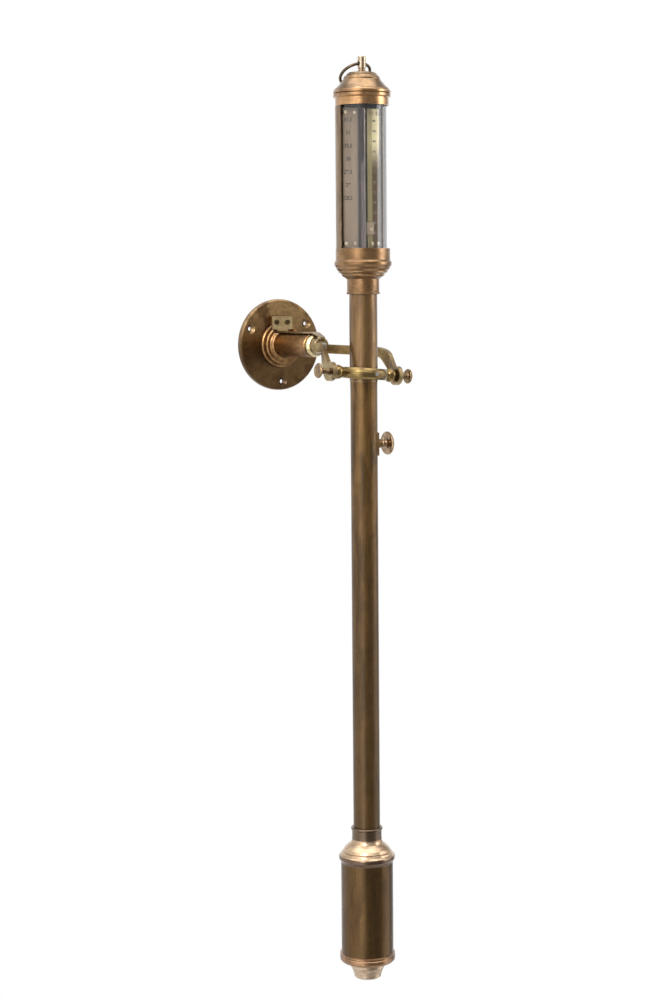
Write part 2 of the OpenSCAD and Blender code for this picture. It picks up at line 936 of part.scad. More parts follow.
module saddle_screws() {
    screw_z = 8.2;
    color(dark_brass)
        hung()
            for (side = [-1, 1]) {
                rod_across(0.9, tube_r, saddle_r, -knob_drop + side * screw_z);
                rod_across(1.7, saddle_r, saddle_r + 0.8, -knob_drop + side * screw_z);
            }
}

// Trumpet-shaped knob with a broad thin rim
module vernier_knob() {
    color(bright_brass)
        hung()
            turned_across(-knob_drop, [
                [pinion_shaft_r, knob_start], [3.6, knob_start], [4.2, 20.6], [4.2, 21.4], [3.2, 22.2],
                [3.2, 23.4], [4, 24.8], [6.4, 25.9], [knob_r - 0.6, 26.3], [knob_r, 26.9],
                [knob_r, 28.3], [knob_r - 0.6, 28.9], [7, 28.9], [6.2, 28.4], [3.4, 28.5],
                [1.6, 29.2], [0, knob_end], [0, 27], [pinion_shaft_r, 27]
            ]);
}

// Upper casting of the cistern: neck, shoulder and rim
module cistern_top() {
    neck_top = case_top + 36.2;
    color(aged_brass)
        hung()
            difference() {
                turned([
                    [tube_r, neck_top], [15.6, neck_top], [16.2, neck_top - 0.8],
                    [16.2, neck_top - 2.1], [15.3, neck_top - 3], [15.2, neck_top - 9],
                    [15.5, neck_top - 13.5], [16.6, neck_top - 16.2], [19.8, neck_top - 18.4],
                    [23, neck_top - 21.6], [24.4, neck_top - 24.2], [24.2, neck_top - 24.9],
                    [25.6, neck_top - 25.6], [26.4, neck_top - 27.2], [27.2, neck_top - 27.7],
                    [28.2, neck_top - 28.6], [28.7, neck_top - 29.8], [28.7, neck_top - 32.4],
                    [27.6, neck_top - 34], [27.2, neck_top - 35.4], [cistern_r, case_top],
                    [case_bore_r, case_top], [case_bore_r, case_top - 5.5], [21, case_top - 5.5],
                    [21, case_top + 11], [tube_r, case_top + 17]
                ]);
            }
}

module cistern_case() {
    color(dark_brass)
        hung()
            ring_tube(cistern_r, case_bore_r, case_low, case_top);
}

// Lower flange of the cistern, bored for the adjusting screw
module cistern_base() {
    color(aged_brass)
        hung()
            turned([
                [journal_r + run, base_low], [22, base_low], [27.4, base_low + 2.4],
                [28.5, base_low + 4.2], [28.5, case_low - 1.7], [27.8, case_low - 1],
                [28.3, case_low - 0.4], [28.3, case_low + 0.8], [cistern_r, case_low + 1.6],
                [cistern_r, case_low], [case_bore_r, case_low], [case_bore_r, case_low + 5],
                [20, case_low + 5], [20, case_low + 1], [journal_r + run, case_low + 1]
            ]);
}

// Boxwood cup that holds the quicksilver
module cistern_cup() {
    color(boxwood)
        hung()
            ring_tube(cup_r, cup_bore_r, cup_low, cup_top - cup_lid_t);
}

module cup_lid() {
    color(boxwood)
        hung()
            ring_tube(cup_r, mercury_tube_r, cup_top - cup_lid_t, cup_top);
}

module mercury_pool() {
    color(quicksilver)
        hung()
            difference() {
                ring_tube(cup_bore_r, 0, cup_low + 0.5, pool_level);
                ring_tube(mercury_tube_r, 0, mercury_tube_low, pool_level + 1);
            }
}

// Leather bag that closes the cup from below
module leather_bag() {
    color(hide)
        hung()
            turned([
                [0, cup_low - 2.6], [16, cup_low - 2.6], [19, cup_low - 2], [cup_r, cup_low - 1.5],
                [cup_r, cup_low], [cup_bore_r, cup_low], [cup_bore_r, cup_low + 0.5], [0, cup_low + 0.5]
            ]);
}

// Pad that the adjusting screw raises under the bag
module pressure_pad() {
    color(boxwood)
        hung()
            turned([
                [screw_r + run, pad_low], [8, pad_low], [pad_r, pad_low + 1.6],
                [pad_r, pad_low + pad_h - 0.6], [pad_r - 0.6, pad_low + pad_h],
                [screw_r + run, pad_low + pad_h]
            ]);
}

// Captive screw: thread, collar and journal
module adjusting_screw() {
    color(steel)
        hung()
            turned([
                [0, adjust_low + 4], [journal_r, adjust_low + 4], [journal_r, case_low + 1.2],
                [8, case_low + 1.2], [8, case_low + 2.6], [screw_r, case_low + 2.6],
                [screw_r, -601.2], [screw_r - 0.6, -600.5], [0, -600.5]
            ]);
}

module adjusting_knob() {
    low = adjust_low;
    color(bright_brass)
        hung()
            turned([
                [journal_r, base_low - 0.5], [17.2, base_low - 0.5], [17.7, base_low - 1],
                [17.7, low + 11.6], [16.6, low + 10.8], [16.2, low + 8.4], [15.2, low + 7.6],
                [15, low + 5.2], [14, low + 4.4], [13.8, low + 1], [12.8, low], [0, low],
                [0, low + 4], [journal_r, low + 4]
            ]);
}

wall_plate();
arm_socket();
socket_screws();
catch_plate();
catch_leaf();
catch_screws();
arm_spindle();
gimbal_fork();
fork_pin();
thumbscrew_left();
thumbscrew_right();
gimbal_ring();
gimbal_pins();
trunnion_collar();
gimbal_sleeve();
main_tube();
head_base();
head_shell();
glass_cylinder();
cap_ring();
cap_dome();
hanging_post();
hanging_ring();
scale_plate_left();
scale_plate_right();
rail_lower();
rail_upper();
plate_screws();
mercury_tube();
mercury_column();
tube_packings();
vernier_plate();
vernier_screw();
rack_rod();
pinion_shaft();
vernier_knob();
pinion_saddle();
saddle_screws();
cistern_top();
cistern_case();
cistern_base();
cistern_cup();
cup_lid();
mercury_pool();
leather_bag();
pressure_pad();
adjusting_screw();
adjusting_knob();
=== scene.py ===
"""Looks of a marine stick barometer that hangs in a gimbal from its wall bracket."""

from __future__ import annotations

import functools
import logging
import math
from dataclasses import dataclass
from enum import Enum

import bpy
from mathutils import Matrix, Vector


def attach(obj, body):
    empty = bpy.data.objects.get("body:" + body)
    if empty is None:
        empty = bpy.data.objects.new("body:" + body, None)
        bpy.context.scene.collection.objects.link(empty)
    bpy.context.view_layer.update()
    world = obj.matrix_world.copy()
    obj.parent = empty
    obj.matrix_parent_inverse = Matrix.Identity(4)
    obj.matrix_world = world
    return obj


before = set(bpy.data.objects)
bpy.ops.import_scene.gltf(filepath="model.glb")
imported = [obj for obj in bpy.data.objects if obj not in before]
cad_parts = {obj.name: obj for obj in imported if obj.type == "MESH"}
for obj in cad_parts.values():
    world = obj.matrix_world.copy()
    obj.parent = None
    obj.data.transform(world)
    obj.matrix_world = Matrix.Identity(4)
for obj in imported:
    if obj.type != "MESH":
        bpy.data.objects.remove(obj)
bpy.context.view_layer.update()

log = logging.getLogger("barometer")

Colour = tuple[float, float, float]
Socket = bpy.types.NodeSocket

MM = 0.001
STANDOFF = 176.0
DROP = 26.3
ROLL = math.radians(4.6)
AXIS_X = -DROP * math.sin(ROLL)
LIFT = DROP * (1 - math.cos(ROLL))
KNOB_Z = -97.2
INCH = 25.4
POOL_LEVEL = -577.0
LINE_DEPTH = 0.06


class Slot(str, Enum):
    """Names of two of the record's material slots."""

    BRIGHT = "bright_brass"
    SILVERED = "silvered_brass"


class Body(str, Enum):
    """The bodies that added pieces ride on."""

    LEFT_SCREW = "left_screw"
    RIGHT_SCREW = "right_screw"
    BAROMETER = "barometer"
    VERNIER = "vernier"
    KNOB = "knob"


class Making(Enum):
    """How a metal surface was made, which sets the run of its fine marks."""

    TURNED = "turned"
    DRAWN = "drawn"
    CAST = "cast"


@dataclass(frozen=True)
class Spindle:
    """The line that a piece was turned about or drawn along.

    Args:
        turn: Rotation that brings the line to +Z, in radians.
        shift: What centres the line after the rotation, in metres.
    """

    turn: tuple[float, float, float] = (0.0, 0.0, 0.0)
    shift: tuple[float, float, float] = (-AXIS_X * MM, STANDOFF * MM, 0.0)


TUBE_LINE = Spindle()
ARM_LINE = Spindle(turn=(math.pi / 2, 0.0, 0.0), shift=(0.0, 0.0, 0.0))
PIVOT_LINE = Spindle(turn=(0.0, math.pi / 2 - ROLL, 0.0), shift=(DROP * MM, STANDOFF * MM, 0.0))
KNOB_LINE = Spindle(turn=(0.0, math.pi / 2, 0.0), shift=(-(KNOB_Z + LIFT) * MM, STANDOFF * MM, 0.0))


def tube_place(x: float, y: float, z: float) -> Vector:
    """Turns millimetres from the hanging barometer's axis into metres in the shared frame.

    Args:
        x: Millimetres to the right.
        y: Millimetres from the axis towards the wall.
        z: Millimetres up.

    Returns:
        The place in metres.
    """
    return Vector(((x + AXIS_X) * MM, (y - STANDOFF) * MM, (z + LIFT) * MM))


def across(x: float, z: float) -> Matrix:
    """Brings +Z to +X, at a place on the hanging barometer.

    Args:
        x: Millimetres to the right of the axis.
        z: Millimetres up.

    Returns:
        The placing matrix.
    """
    return Matrix.Translation(tube_place(x, 0, z)) @ Matrix.Rotation(math.pi / 2, 4, "Y")


def on_pivot(x: float) -> Matrix:
    """Brings +Z to the turned line of the thumbscrews, at a distance from its middle."""
    line = Matrix.Rotation(math.pi / 2, 4, "Y")
    return Matrix.Rotation(ROLL, 4, "Y") @ Matrix.Translation((x * MM, -STANDOFF * MM, -DROP * MM)) @ line


def facing_out(x: float, y: float, z: float) -> Matrix:
    """Brings +Z to -Y, at a place on the hanging barometer."""
    return Matrix.Translation(tube_place(x, y, z)) @ Matrix.Rotation(math.pi / 2, 4, "X")


class NodeSheet:
    """The node tree of a material or a world, and short calls that add nodes to it."""

    def __init__(self, owner: bpy.types.Material | bpy.types.World) -> None:
        """Starts with an empty node tree.

        Args:
            owner: The material or world.
        """
        owner.use_nodes = True
        self.tree = owner.node_tree
        self.tree.nodes.clear()

    def node(self, kind: str, **settings: object) -> bpy.types.Node:
        """Adds a node and sets its properties.

        Args:
            kind: Blender's name for the node type.
            settings: Property names and values.

        Returns:
            The new node.
        """
        made = self.tree.nodes.new(kind)
        for key, value in settings.items():
            setattr(made, key, value)
        return made

    def feed(self, socket: Socket, value: object) -> None:
        """Links a socket or sets its value.

        Args:
            socket: The input to fill.
            value: Another socket, a number or a tuple.
        """
        if isinstance(value, Socket):
            self.tree.links.new(value, socket)
        elif isinstance(value, tuple) and len(value) == 3 and socket.type == "RGBA":
            socket.default_value = (*value, 1.0)
        else:
            socket.default_value = value

    def vectors(self, operation: str, a: object, b: object = (0.0, 0.0, 0.0)) -> bpy.types.Node:
        """Adds a Vector Math node.

        Args:
            operation: Blender's name for the operation.
            a: First input.
            b: Second input.

        Returns:
            The node, with its outputs Vector and Value.
        """
        made = self.node("ShaderNodeVectorMath", operation=operation)
        self.feed(made.inputs[0], a)
        self.feed(made.inputs[1], b)
        return made

    def maths(self, operation: str, a: object, b: object = 0.0, clamp: bool = False) -> Socket:
        """Adds a Math node.

        Args:
            operation: Blender's name for the operation.
            a: First input.
            b: Second input.
            clamp: Whether the result stays between 0 and 1.

        Returns:
            The result's socket.
        """
        made = self.node("ShaderNodeMath", operation=operation, use_clamp=clamp)
        self.feed(made.inputs[0], a)
        self.feed(made.inputs[1], b)
        return made.outputs[0]

    def span(
        self, value: object, low: float, high: float, to_low: float = 0.0, to_high: float = 1.0,
    ) -> Socket:
        """Maps a range of values smoothly onto another.

        Args:
            value: The input.
            low: Where the range starts.
            high: Where the range ends.
            to_low: Result at the start.
            to_high: Result at the end.

        Returns:
            The result's socket.
        """
        made = self.node("ShaderNodeMapRange", interpolation_type="SMOOTHSTEP")
        for socket, number in zip(made.inputs, (value, low, high, to_low, to_high)):
            self.feed(socket, number)
        return made.outputs[0]

    def blend(self, share: object, a: object, b: object, mode: str = "MIX") -> Socket:
        """Mixes two colours.

        Args:
            share: How much of the second.
            a: First colour.
            b: Second colour.
            mode: Blender's name for the way of mixing.

        Returns:
            The colour's socket.
        """
        made = self.node("ShaderNodeMix", data_type="RGBA", blend_type=mode)
        self.feed(made.inputs[0], share)
        self.feed(made.inputs[6], a)
        self.feed(made.inputs[7], b)
        return made.outputs[2]

    def seen_directly(self) -> Socket:
        """1 where the camera looks straight or through glass, else 0."""
        path = self.node("ShaderNodeLightPath")
        return self.maths("MAXIMUM", path.outputs["Is Camera Ray"], path.outputs["Is Transmission Ray"])

    def white_share(self, mirrored: Socket) -> Socket:
        """How much of the white background a ray meets.

        Args:
            mirrored: How much of it shows in metal and glass.

        Returns:
            The share's socket.
        """
        path = self.node("ShaderNodeLightPath")
        in_metal = self.maths("MULTIPLY", path.outputs["Is Glossy Ray"], mirrored)
        return self.maths("MAXIMUM", self.seen_directly(), in_metal)


class ShaderSheet(NodeSheet):
    """One material, with nodes for its coordinates, marks and surface."""

    def __init__(self, name: str) -> None:
        """Starts a material with an empty node tree.

        Args:
            name: The material's name.
        """
        self.material = bpy.data.materials.new(name)
        super().__init__(self.material)
        self.output = self.node("ShaderNodeOutputMaterial")
        self.object_coords = self.node("ShaderNodeTexCoord").outputs["Object"]

    def placed(self, spindle: Spindle) -> Socket:
        """Coordinates with the spindle's line on +Z.

        Args:
            spindle: The line.

        Returns:
            The coordinates' socket.
        """
        made = self.node("ShaderNodeMapping", vector_type="POINT")
        self.feed(made.inputs["Vector"], self.object_coords)
        made.inputs["Rotation"].default_value = spindle.turn
        made.inputs["Location"].default_value = spindle.shift
        return made.outputs[0]

    def round_coords(self, spindle: Spindle, around: float, out: float, along: float) -> Socket:
        """Coordinates that follow a round piece, with a scale for each way over it.

        Args:
            spindle: The line that the piece is round about.
            around: Scale of detail round the piece.
            out: Scale of detail away from the line.
            along: Scale of detail along the line.

        Returns:
            The coordinates' socket.
        """
        parts = self.node("ShaderNodeSeparateXYZ")
        self.feed(parts.inputs[0], self.placed(spindle))
        x, y, z = parts.outputs
        radius = self.radius(spindle)
        safe = self.maths("MAXIMUM", radius, 1e-5)
        joined = self.node("ShaderNodeCombineXYZ")
        self.feed(joined.inputs[0], self.maths("MULTIPLY", self.maths("DIVIDE", x, safe), around))
        self.feed(joined.inputs[1], self.maths("MULTIPLY", self.maths("DIVIDE", y, safe), around))
        rings = self.maths("MULTIPLY", radius, out)
        self.feed(joined.inputs[2], self.maths("ADD", self.maths("MULTIPLY", z, along), rings))
        return joined.outputs[0]

    def radius(self, spindle: Spindle) -> Socket:
        """Distance from the spindle's line."""
        parts = self.node("ShaderNodeSeparateXYZ")
        self.feed(parts.inputs[0], self.placed(spindle))
        x, y, _ = parts.outputs
        squares = self.maths("ADD", self.maths("MULTIPLY", x, x), self.maths("MULTIPLY", y, y))
        return self.maths("SQRT", squares)

    def along(self, axis: int) -> Socket:
        """One of the object coordinates, by its number."""
        parts = self.node("ShaderNodeSeparateXYZ")
        self.feed(parts.inputs[0], self.object_coords)
        return parts.outputs[axis]

    def scaled(self, x: float, y: float, z: float) -> Socket:
        """Object coordinates times a scale for each axis."""
        made = self.node("ShaderNodeMapping", vector_type="POINT")
        self.feed(made.inputs["Vector"], self.object_coords)
        made.inputs["Scale"].default_value = (x, y, z)
        return made.outputs[0]

    def noise(
        self, coords: object, scale: float, detail: float = 3.0, rough: float = 0.55, twist: float = 0.0,
    ) -> Socket:
        """Adds noise.

        Args:
            coords: Where it is read.
            scale: How fine it is.
            detail: How many layers it has.
            rough: How strong the finer layers are.
            twist: How much it is distorted.

        Returns:
            The noise, about 0.5 in the middle.
        """
        made = self.node("ShaderNodeTexNoise")
        self.feed(made.inputs["Vector"], coords)
        sizes = {"Scale": scale, "Detail": detail, "Roughness": rough, "Distortion": twist}
        for key, value in sizes.items():
            made.inputs[key].default_value = value
        return made.outputs["Fac"]

    def corners(self, reach: float) -> Socket:
        """How open a place is: 1 in the open, 0 in a deep corner."""
        made = self.node("ShaderNodeAmbientOcclusion", samples=6, only_local=False)
        made.inputs["Distance"].default_value = reach
        return made.outputs["AO"]

    def edges(self, radius: float) -> Socket:
        """How near an edge is: 0 on the flat, towards 1 on an edge."""
        bevel = self.node("ShaderNodeBevel", samples=4)
        bevel.inputs["Radius"].default_value = radius
        face = self.node("ShaderNodeNewGeometry")
        dot = self.vectors("DOT_PRODUCT", bevel.outputs[0], face.outputs["Normal"])
        return self.maths("SUBTRACT", 1.0, dot.outputs["Value"], clamp=True)

    def bump(self, height: object, strength: float, depth: float, below: object | None = None) -> Socket:
        """Adds a bump.

        Args:
            height: The height map.
            strength: How strongly it shows.
            depth: The height of a full step, in metres.
            below: A normal to build on.

        Returns:
            The normal's socket.
        """
        made = self.node("ShaderNodeBump")
        made.inputs["Strength"].default_value = strength
        made.inputs["Distance"].default_value = depth
        self.feed(made.inputs["Height"], height)
        if below is not None:
            self.feed(made.inputs["Normal"], below)
        return made.outputs[0]

    def surface(self, **sockets: object) -> bpy.types.Material:
        """Adds the surface shader and finishes the material.

        Args:
            sockets: The shader's inputs, with underscores for spaces.

        Returns:
            The material.
        """
        shader = self.node("ShaderNodeBsdfPrincipled")
        for key, value in sockets.items():
            self.feed(shader.inputs[key.replace("_", " ")], value)
        self.tree.links.new(shader.outputs[0], self.output.inputs["Surface"])
        return self.material


@dataclass(frozen=True)
class Grain:
    """A layer of noise on a metal.

    Args:
        scale: How fine it is.
        detail: How many layers it has.
        rough: How strong the finer layers are.
        twist: How much it is distorted.
        wrap: Scales round the piece, away from its line and along it. None keeps plain coordinates.
    """

    scale: float
    detail: float
    rough: float
    twist: float = 0.0
    wrap: tuple[float, float, float] | None = None

    def lay(self, sheet: ShaderSheet, spindle: Spindle) -> Socket:
        """Adds the noise to a sheet, centred on a piece's line."""
        coords = sheet.round_coords(spindle, *self.wrap) if self.wrap else sheet.placed(spindle)
        return sheet.noise(coords, self.scale, self.detail, self.rough, self.twist)


# Broad patches, fine shade and tool marks of each way of making
GRAINS: dict[Making, tuple[Grain, Grain, Grain]] = {
    Making.DRAWN: (
        Grain(2.2, 4.0, 0.6, 0.3, (0.9, 0.0, 7.0)), Grain(3.0, 4.0, 0.6, 0.0, (14.0, 0.0, 16.0)),
        Grain(2.0, 2.0, 0.5, 0.0, (90.0, 0.0, 30.0)),
    ),
    Making.TURNED: (
        Grain(1.6, 4.0, 0.6, 0.3, (0.8, 60.0, 22.0)), Grain(1.0, 3.0, 0.6, 0.0, (3.0, 900.0, 900.0)),
        Grain(1.0, 1.0, 0.5, 0.0, (1.2, 5200.0, 5200.0)),
    ),
    Making.CAST: (Grain(38.0, 4.0, 0.6, 0.3), Grain(330.0, 4.0, 0.65), Grain(1500.0, 2.0, 0.5)),
}
MOTTLE = Grain(210.0, 5.0, 0.7)
SPECKS = Grain(900.0, 2.0, 0.5)
STAINS = Grain(55.0, 2.0, 0.45, 0.4)

# Where each mark of age, and the painted shade in corners, starts and ends in its noise or its mask, and
# how strong it is at both ends
PATCH_MIDDLE, PATCH_SHIFT, PATCH_HALF = 0.64, 0.28, 0.16
SHADE_SPAN = (0.3, 0.7, 0.80, 1.16)
STAIN_SPAN = (0.50, 0.64, 0.0)
MOTTLE_SPAN = (0.58, 0.72, 0.0, 0.5)
SPECK_SPAN = (0.68, 0.76, 0.0, 0.55)
RUB_SPAN = (0.02, 0.22, 0.0)
RUB_BREAKS = (0.35, 0.6, 0.35, 1.0)
CORNER_SHADE_SPAN = (0.25, 0.85, 0.85, 0.0)
ROUGH_SPAN = (0.35, 0.7, -0.03, 0.09)
PATCH_ROUGH = (-0.03, 0.07)
CORNER_ROUGH = 0.25
EDGE_RADIUS, CORNER_REACH = 0.0007, 0.0035
BLACKENED, BLACK_FADE = (0.020, 0.015, 0.011), 0.0005
BAND_FADE, BAND_SHARE = 0.0004, 0.9
LACQUER_ROUGH = 0.16

# Strength of a relief and the height of its full step, in metres
MOTTLE_RELIEF, MARK_RELIEF, BRUSH_RELIEF = (0.12, 0.0003), (0.18, 0.00008), (0.1, 0.00005)
GRAIN_DEPTH = 0.0002

# The silvering's streaks, brush marks and painted shade in corners: their scales along each axis, and where
# they start and end
STREAKS, BRUSHING = (60.0, 60.0, 14.0), (2600.0, 300.0, 60.0)
STREAK_SPAN = (0.38, 0.66)
BRUSH_SPAN = (0.45, 0.75, 0.0, 0.35)
SILVER_ROUGH = (0.3, 0.7, 0.34, 0.48)
SILVER_CORNER_SHADE, SILVER_REACH = (0.3, 0.9, 0.8, 0.0), 0.004
TONED_SHARE, STRIP_SHARE, STRIP_FADE = 0.55, 0.75, 0.0003

# The same for a plain finish and for glass
GRAIN_SPAN, GRAIN_PATCHES, GRAIN_ROUGH = (0.3, 0.7), (0.3, 0.7, 0.6, 1.0), (-0.06, 0.08)
PATCH_SCALE = 45.0
SMEARS, SMEAR_SPAN, RIM_SPAN = (160.0, 160.0, 30.0), (0.50, 0.80, 0.0, 0.035), (0.52, 0.70)


@dataclass(frozen=True)
class Brass:
    """Old lacquered brass.

    Args:
        name: The material's name.
        metal: Colour of the cleaner metal.
        tarnish: Colour of its brown patches.
        grime: Colour of its dirt specks, and of the painted shade in its corners.
        worn: Colour of its rubbed edges.
        rough: Roughness of the cleaner metal.
        making: How it was made.
        spindle: The line that it was turned about or drawn along.
        spread: How much of it is tarnished, 0 to 1.
        wear: How far the edges are rubbed, 0 to 1.
        blotch: How strongly large soft stains show, 0 to 1.
        black_inside: Radius under which it is blackened, in metres.
        lacquer: How much of its old clear lacquer is left, 0 to 1.
        darker_below: Height in metres at which painted shade starts to darken it towards its foot, in the
            tarnish colour.
        darker_reach: Height in metres over which the painted shade grows darker.
        darker_share: How dark the painted shade grows, 0 to 1.
        bands: Lowest height, highest height and colour of each band that has kept another tone.
    """

    name: str
    metal: Colour
    tarnish: Colour
    grime: Colour = (0.035, 0.020, 0.009)
    worn: Colour = (0.80, 0.60, 0.36)
    rough: float = 0.30
    making: Making = Making.TURNED
    spindle: Spindle = TUBE_LINE
    spread: float = 0.5
    wear: float = 0.6
    blotch: float = 0.25
    black_inside: float = 0.0
    lacquer: float = 0.6
    darker_below: float | None = None
    darker_reach: float = 0.45
    darker_share: float = 0.6
    bands: tuple[tuple[float, float, Colour], ...] = ()

    def material(self) -> bpy.types.Material:
        """Builds the material.

        Returns:
            The material.
        """
        sheet = ShaderSheet(self.name)
        broad, fine, marks = (grain.lay(sheet, self.spindle) for grain in GRAINS[self.making])
        mottle = MOTTLE.lay(sheet, self.spindle)
        specks = SPECKS.lay(sheet, self.spindle)
        middle = PATCH_MIDDLE - PATCH_SHIFT * self.spread
        brown = sheet.span(broad, middle - PATCH_HALF, middle + PATCH_HALF)
        colour = sheet.blend(brown, self.metal, self.tarnish)
        grey = sheet.node("ShaderNodeCombineColor")
        shade = sheet.span(fine, *SHADE_SPAN)
        for socket in grey.inputs[:3]:
            sheet.feed(socket, shade)
        colour = sheet.blend(1.0, colour, grey.outputs[0], "MULTIPLY")
        stains = sheet.span(STAINS.lay(sheet, self.spindle), *STAIN_SPAN, self.blotch)
        rub = sheet.maths("MULTIPLY", sheet.span(sheet.edges(EDGE_RADIUS), *RUB_SPAN, self.wear),
                          sheet.span(mottle, *RUB_BREAKS), clamp=True)
        # Painted shade: the occlusion mask darkens corners towards the grime colour, and roughens them.
        dirt = sheet.span(sheet.corners(CORNER_REACH), *CORNER_SHADE_SPAN)
        for share, tone in (
            (stains, self.tarnish), (sheet.span(mottle, *MOTTLE_SPAN), self.tarnish),
            (sheet.span(specks, *SPECK_SPAN), self.grime), (rub, self.worn), (dirt, self.grime),
        ):
            colour = sheet.blend(share, colour, tone)
        lacquer: object = self.lacquer
        if self.black_inside > 0:
            inside = sheet.span(
                sheet.radius(self.spindle), self.black_inside, self.black_inside + BLACK_FADE, 1.0, 0.0,
            )
            colour = sheet.blend(inside, colour, BLACKENED)
            lacquer = sheet.maths("MULTIPLY", sheet.maths("SUBTRACT", 1.0, inside), self.lacquer)
        height = sheet.along(2)
        # Painted shade: darker towards the foot, in the tarnish colour, as though lit from above.
        if self.darker_below is not None:
            foot = self.darker_below - self.darker_reach
            colour = sheet.blend(
                sheet.span(height, self.darker_below, foot, 0.0, self.darker_share), colour, self.tarnish,
            )
        for low, high, tone in self.bands:
            share = sheet.maths(
                "MULTIPLY", sheet.span(height, low - BAND_FADE, low + BAND_FADE, 0.0, BAND_SHARE),
                sheet.span(height, high - BAND_FADE, high + BAND_FADE, 1.0, 0.0),
            )
            colour = sheet.blend(share, colour, tone)
        smooth, patchy = (self.rough + change for change in PATCH_ROUGH)
        rough = sheet.span(brown, 0.0, 1.0, smooth, patchy)
        rough = sheet.maths("ADD", rough, sheet.span(mottle, *ROUGH_SPAN))
        rough = sheet.maths("ADD", rough, sheet.maths("MULTIPLY", dirt, CORNER_ROUGH), clamp=True)
        normal = sheet.bump(mottle, *MOTTLE_RELIEF, sheet.bump(marks, *MARK_RELIEF))
        return sheet.surface(
            Base_Color=colour, Metallic=1.0, Roughness=rough, Normal=normal,
            Coat_Weight=lacquer, Coat_Roughness=LACQUER_ROUGH,
        )


@dataclass(frozen=True)
class Silvered:
    """Silvered brass of the scale plates, toned yellow and scratched.

    Args:
        name: The material's name.
        face: Colour of the clean silvering.
        toned: Colour of its toned streaks.
        low_face: Colour of the lower part, where it differs.
        strip_end: Where the strip beside the glass tube ends, in metres to the right. 0 leaves it out.
        strip: Colour of that strip.
        dim_from: Height in metres under which the lower colour is full.
        dim_to: Height in metres over which the upper colour is full.
        dirt: Colour of the painted shade in its corners.
    """

    name: str
    face: Colour
    toned: Colour
    low_face: Colour | None = None
    strip_end: float = 0.0
    strip: Colour = (0.34, 0.30, 0.13)
    dim_from: float = 0.172
    dim_to: float = 0.210
    dirt: Colour = (0.06, 0.045, 0.03)

    def material(self) -> bpy.types.Material:
        """Builds the material.

        Returns:
            The material.
        """
        sheet = ShaderSheet(self.name)
        broad = sheet.noise(sheet.scaled(*STREAKS), 1.0, 4.0, 0.6)
        brushed = sheet.noise(sheet.scaled(*BRUSHING), 1.0, 3.0, 0.6)
        face: object = self.face
        if self.low_face is not None:
            upper = sheet.span(sheet.along(2), self.dim_from, self.dim_to)
            face = sheet.blend(upper, self.low_face, self.face)
        if self.strip_end > 0:
            start, end = self.strip_end - STRIP_FADE, self.strip_end + STRIP_FADE
            inner = sheet.span(sheet.along(0), start, end, STRIP_SHARE, 0.0)
            face = sheet.blend(inner, face, self.strip)
        toned = sheet.blend(TONED_SHARE, face, self.toned)
        colour = sheet.blend(sheet.span(broad, *STREAK_SPAN), face, toned)
        colour = sheet.blend(sheet.span(brushed, *BRUSH_SPAN), colour, self.toned)
        # Painted shade: the occlusion mask darkens corners towards the corner colour.
        colour = sheet.blend(sheet.span(sheet.corners(SILVER_REACH), *SILVER_CORNER_SHADE), colour, self.dirt)
        rough = sheet.span(brushed, *SILVER_ROUGH)
        normal = sheet.bump(brushed, *BRUSH_RELIEF)
        return sheet.surface(Base_Color=colour, Metallic=0.75, Roughness=rough, Normal=normal)


@dataclass(frozen=True)
class Plain:
    """A finish with one main colour and a fine grain.

    Args:
        name: The material's name.
        light: The paler colour.
        dark: The darker colour.
        grain: Scale of the grain along each axis.
        rough: Roughness.
        metallic: 1 for a metal, else 0.
        relief: Strength of the grain's bump.
    """

    name: str
    light: Colour
    dark: Colour
    grain: tuple[float, float, float] = (300.0, 300.0, 300.0)
    rough: float = 0.5
    metallic: float = 0.0
    relief: float = 0.2

    def material(self) -> bpy.types.Material:
        """Builds the material.

        Returns:
            The material.
        """
        sheet = ShaderSheet(self.name)
        grain = sheet.noise(sheet.scaled(*self.grain), 1.0, 5.0, 0.6, 0.2)
        patches = sheet.span(sheet.noise(sheet.object_coords, PATCH_SCALE), *GRAIN_PATCHES)
        share = sheet.maths("MULTIPLY", sheet.span(grain, *GRAIN_SPAN), patches, clamp=True)
        rough = sheet.span(grain, *GRAIN_SPAN, *(self.rough + change for change in GRAIN_ROUGH))
        return sheet.surface(
            Base_Color=sheet.blend(share, self.light, self.dark),
            Metallic=self.metallic,
            Roughness=rough,
            Normal=sheet.bump(grain, self.relief, GRAIN_DEPTH),
        )


@dataclass(frozen=True)
class ClearGlass:
    """Blown glass with faint smears.

    Args:
        name: The material's name.
        tint: Colour of what is seen straight through it.
        edge: Colour of its rim, where it is seen along the wall.
    """

    name: str = "blown_glass"
    tint: Colour = (0.97, 0.96, 0.94)
    edge: Colour = (0.13, 0.145, 0.155)

    def material(self) -> bpy.types.Material:
        """Builds the material.

        Returns:
            The material.
        """
        sheet = ShaderSheet(self.name)
        smear = sheet.noise(sheet.scaled(*SMEARS), 1.0, 4.0, 0.6)
        rim = sheet.node("ShaderNodeLayerWeight")
        rim.inputs["Blend"].default_value = 0.5
        return sheet.surface(
            Base_Color=sheet.blend(sheet.span(rim.outputs["Facing"], *RIM_SPAN), self.tint, self.edge),
            Roughness=sheet.span(smear, *SMEAR_SPAN),
            IOR=1.47,
            Transmission_Weight=1.0,
        )
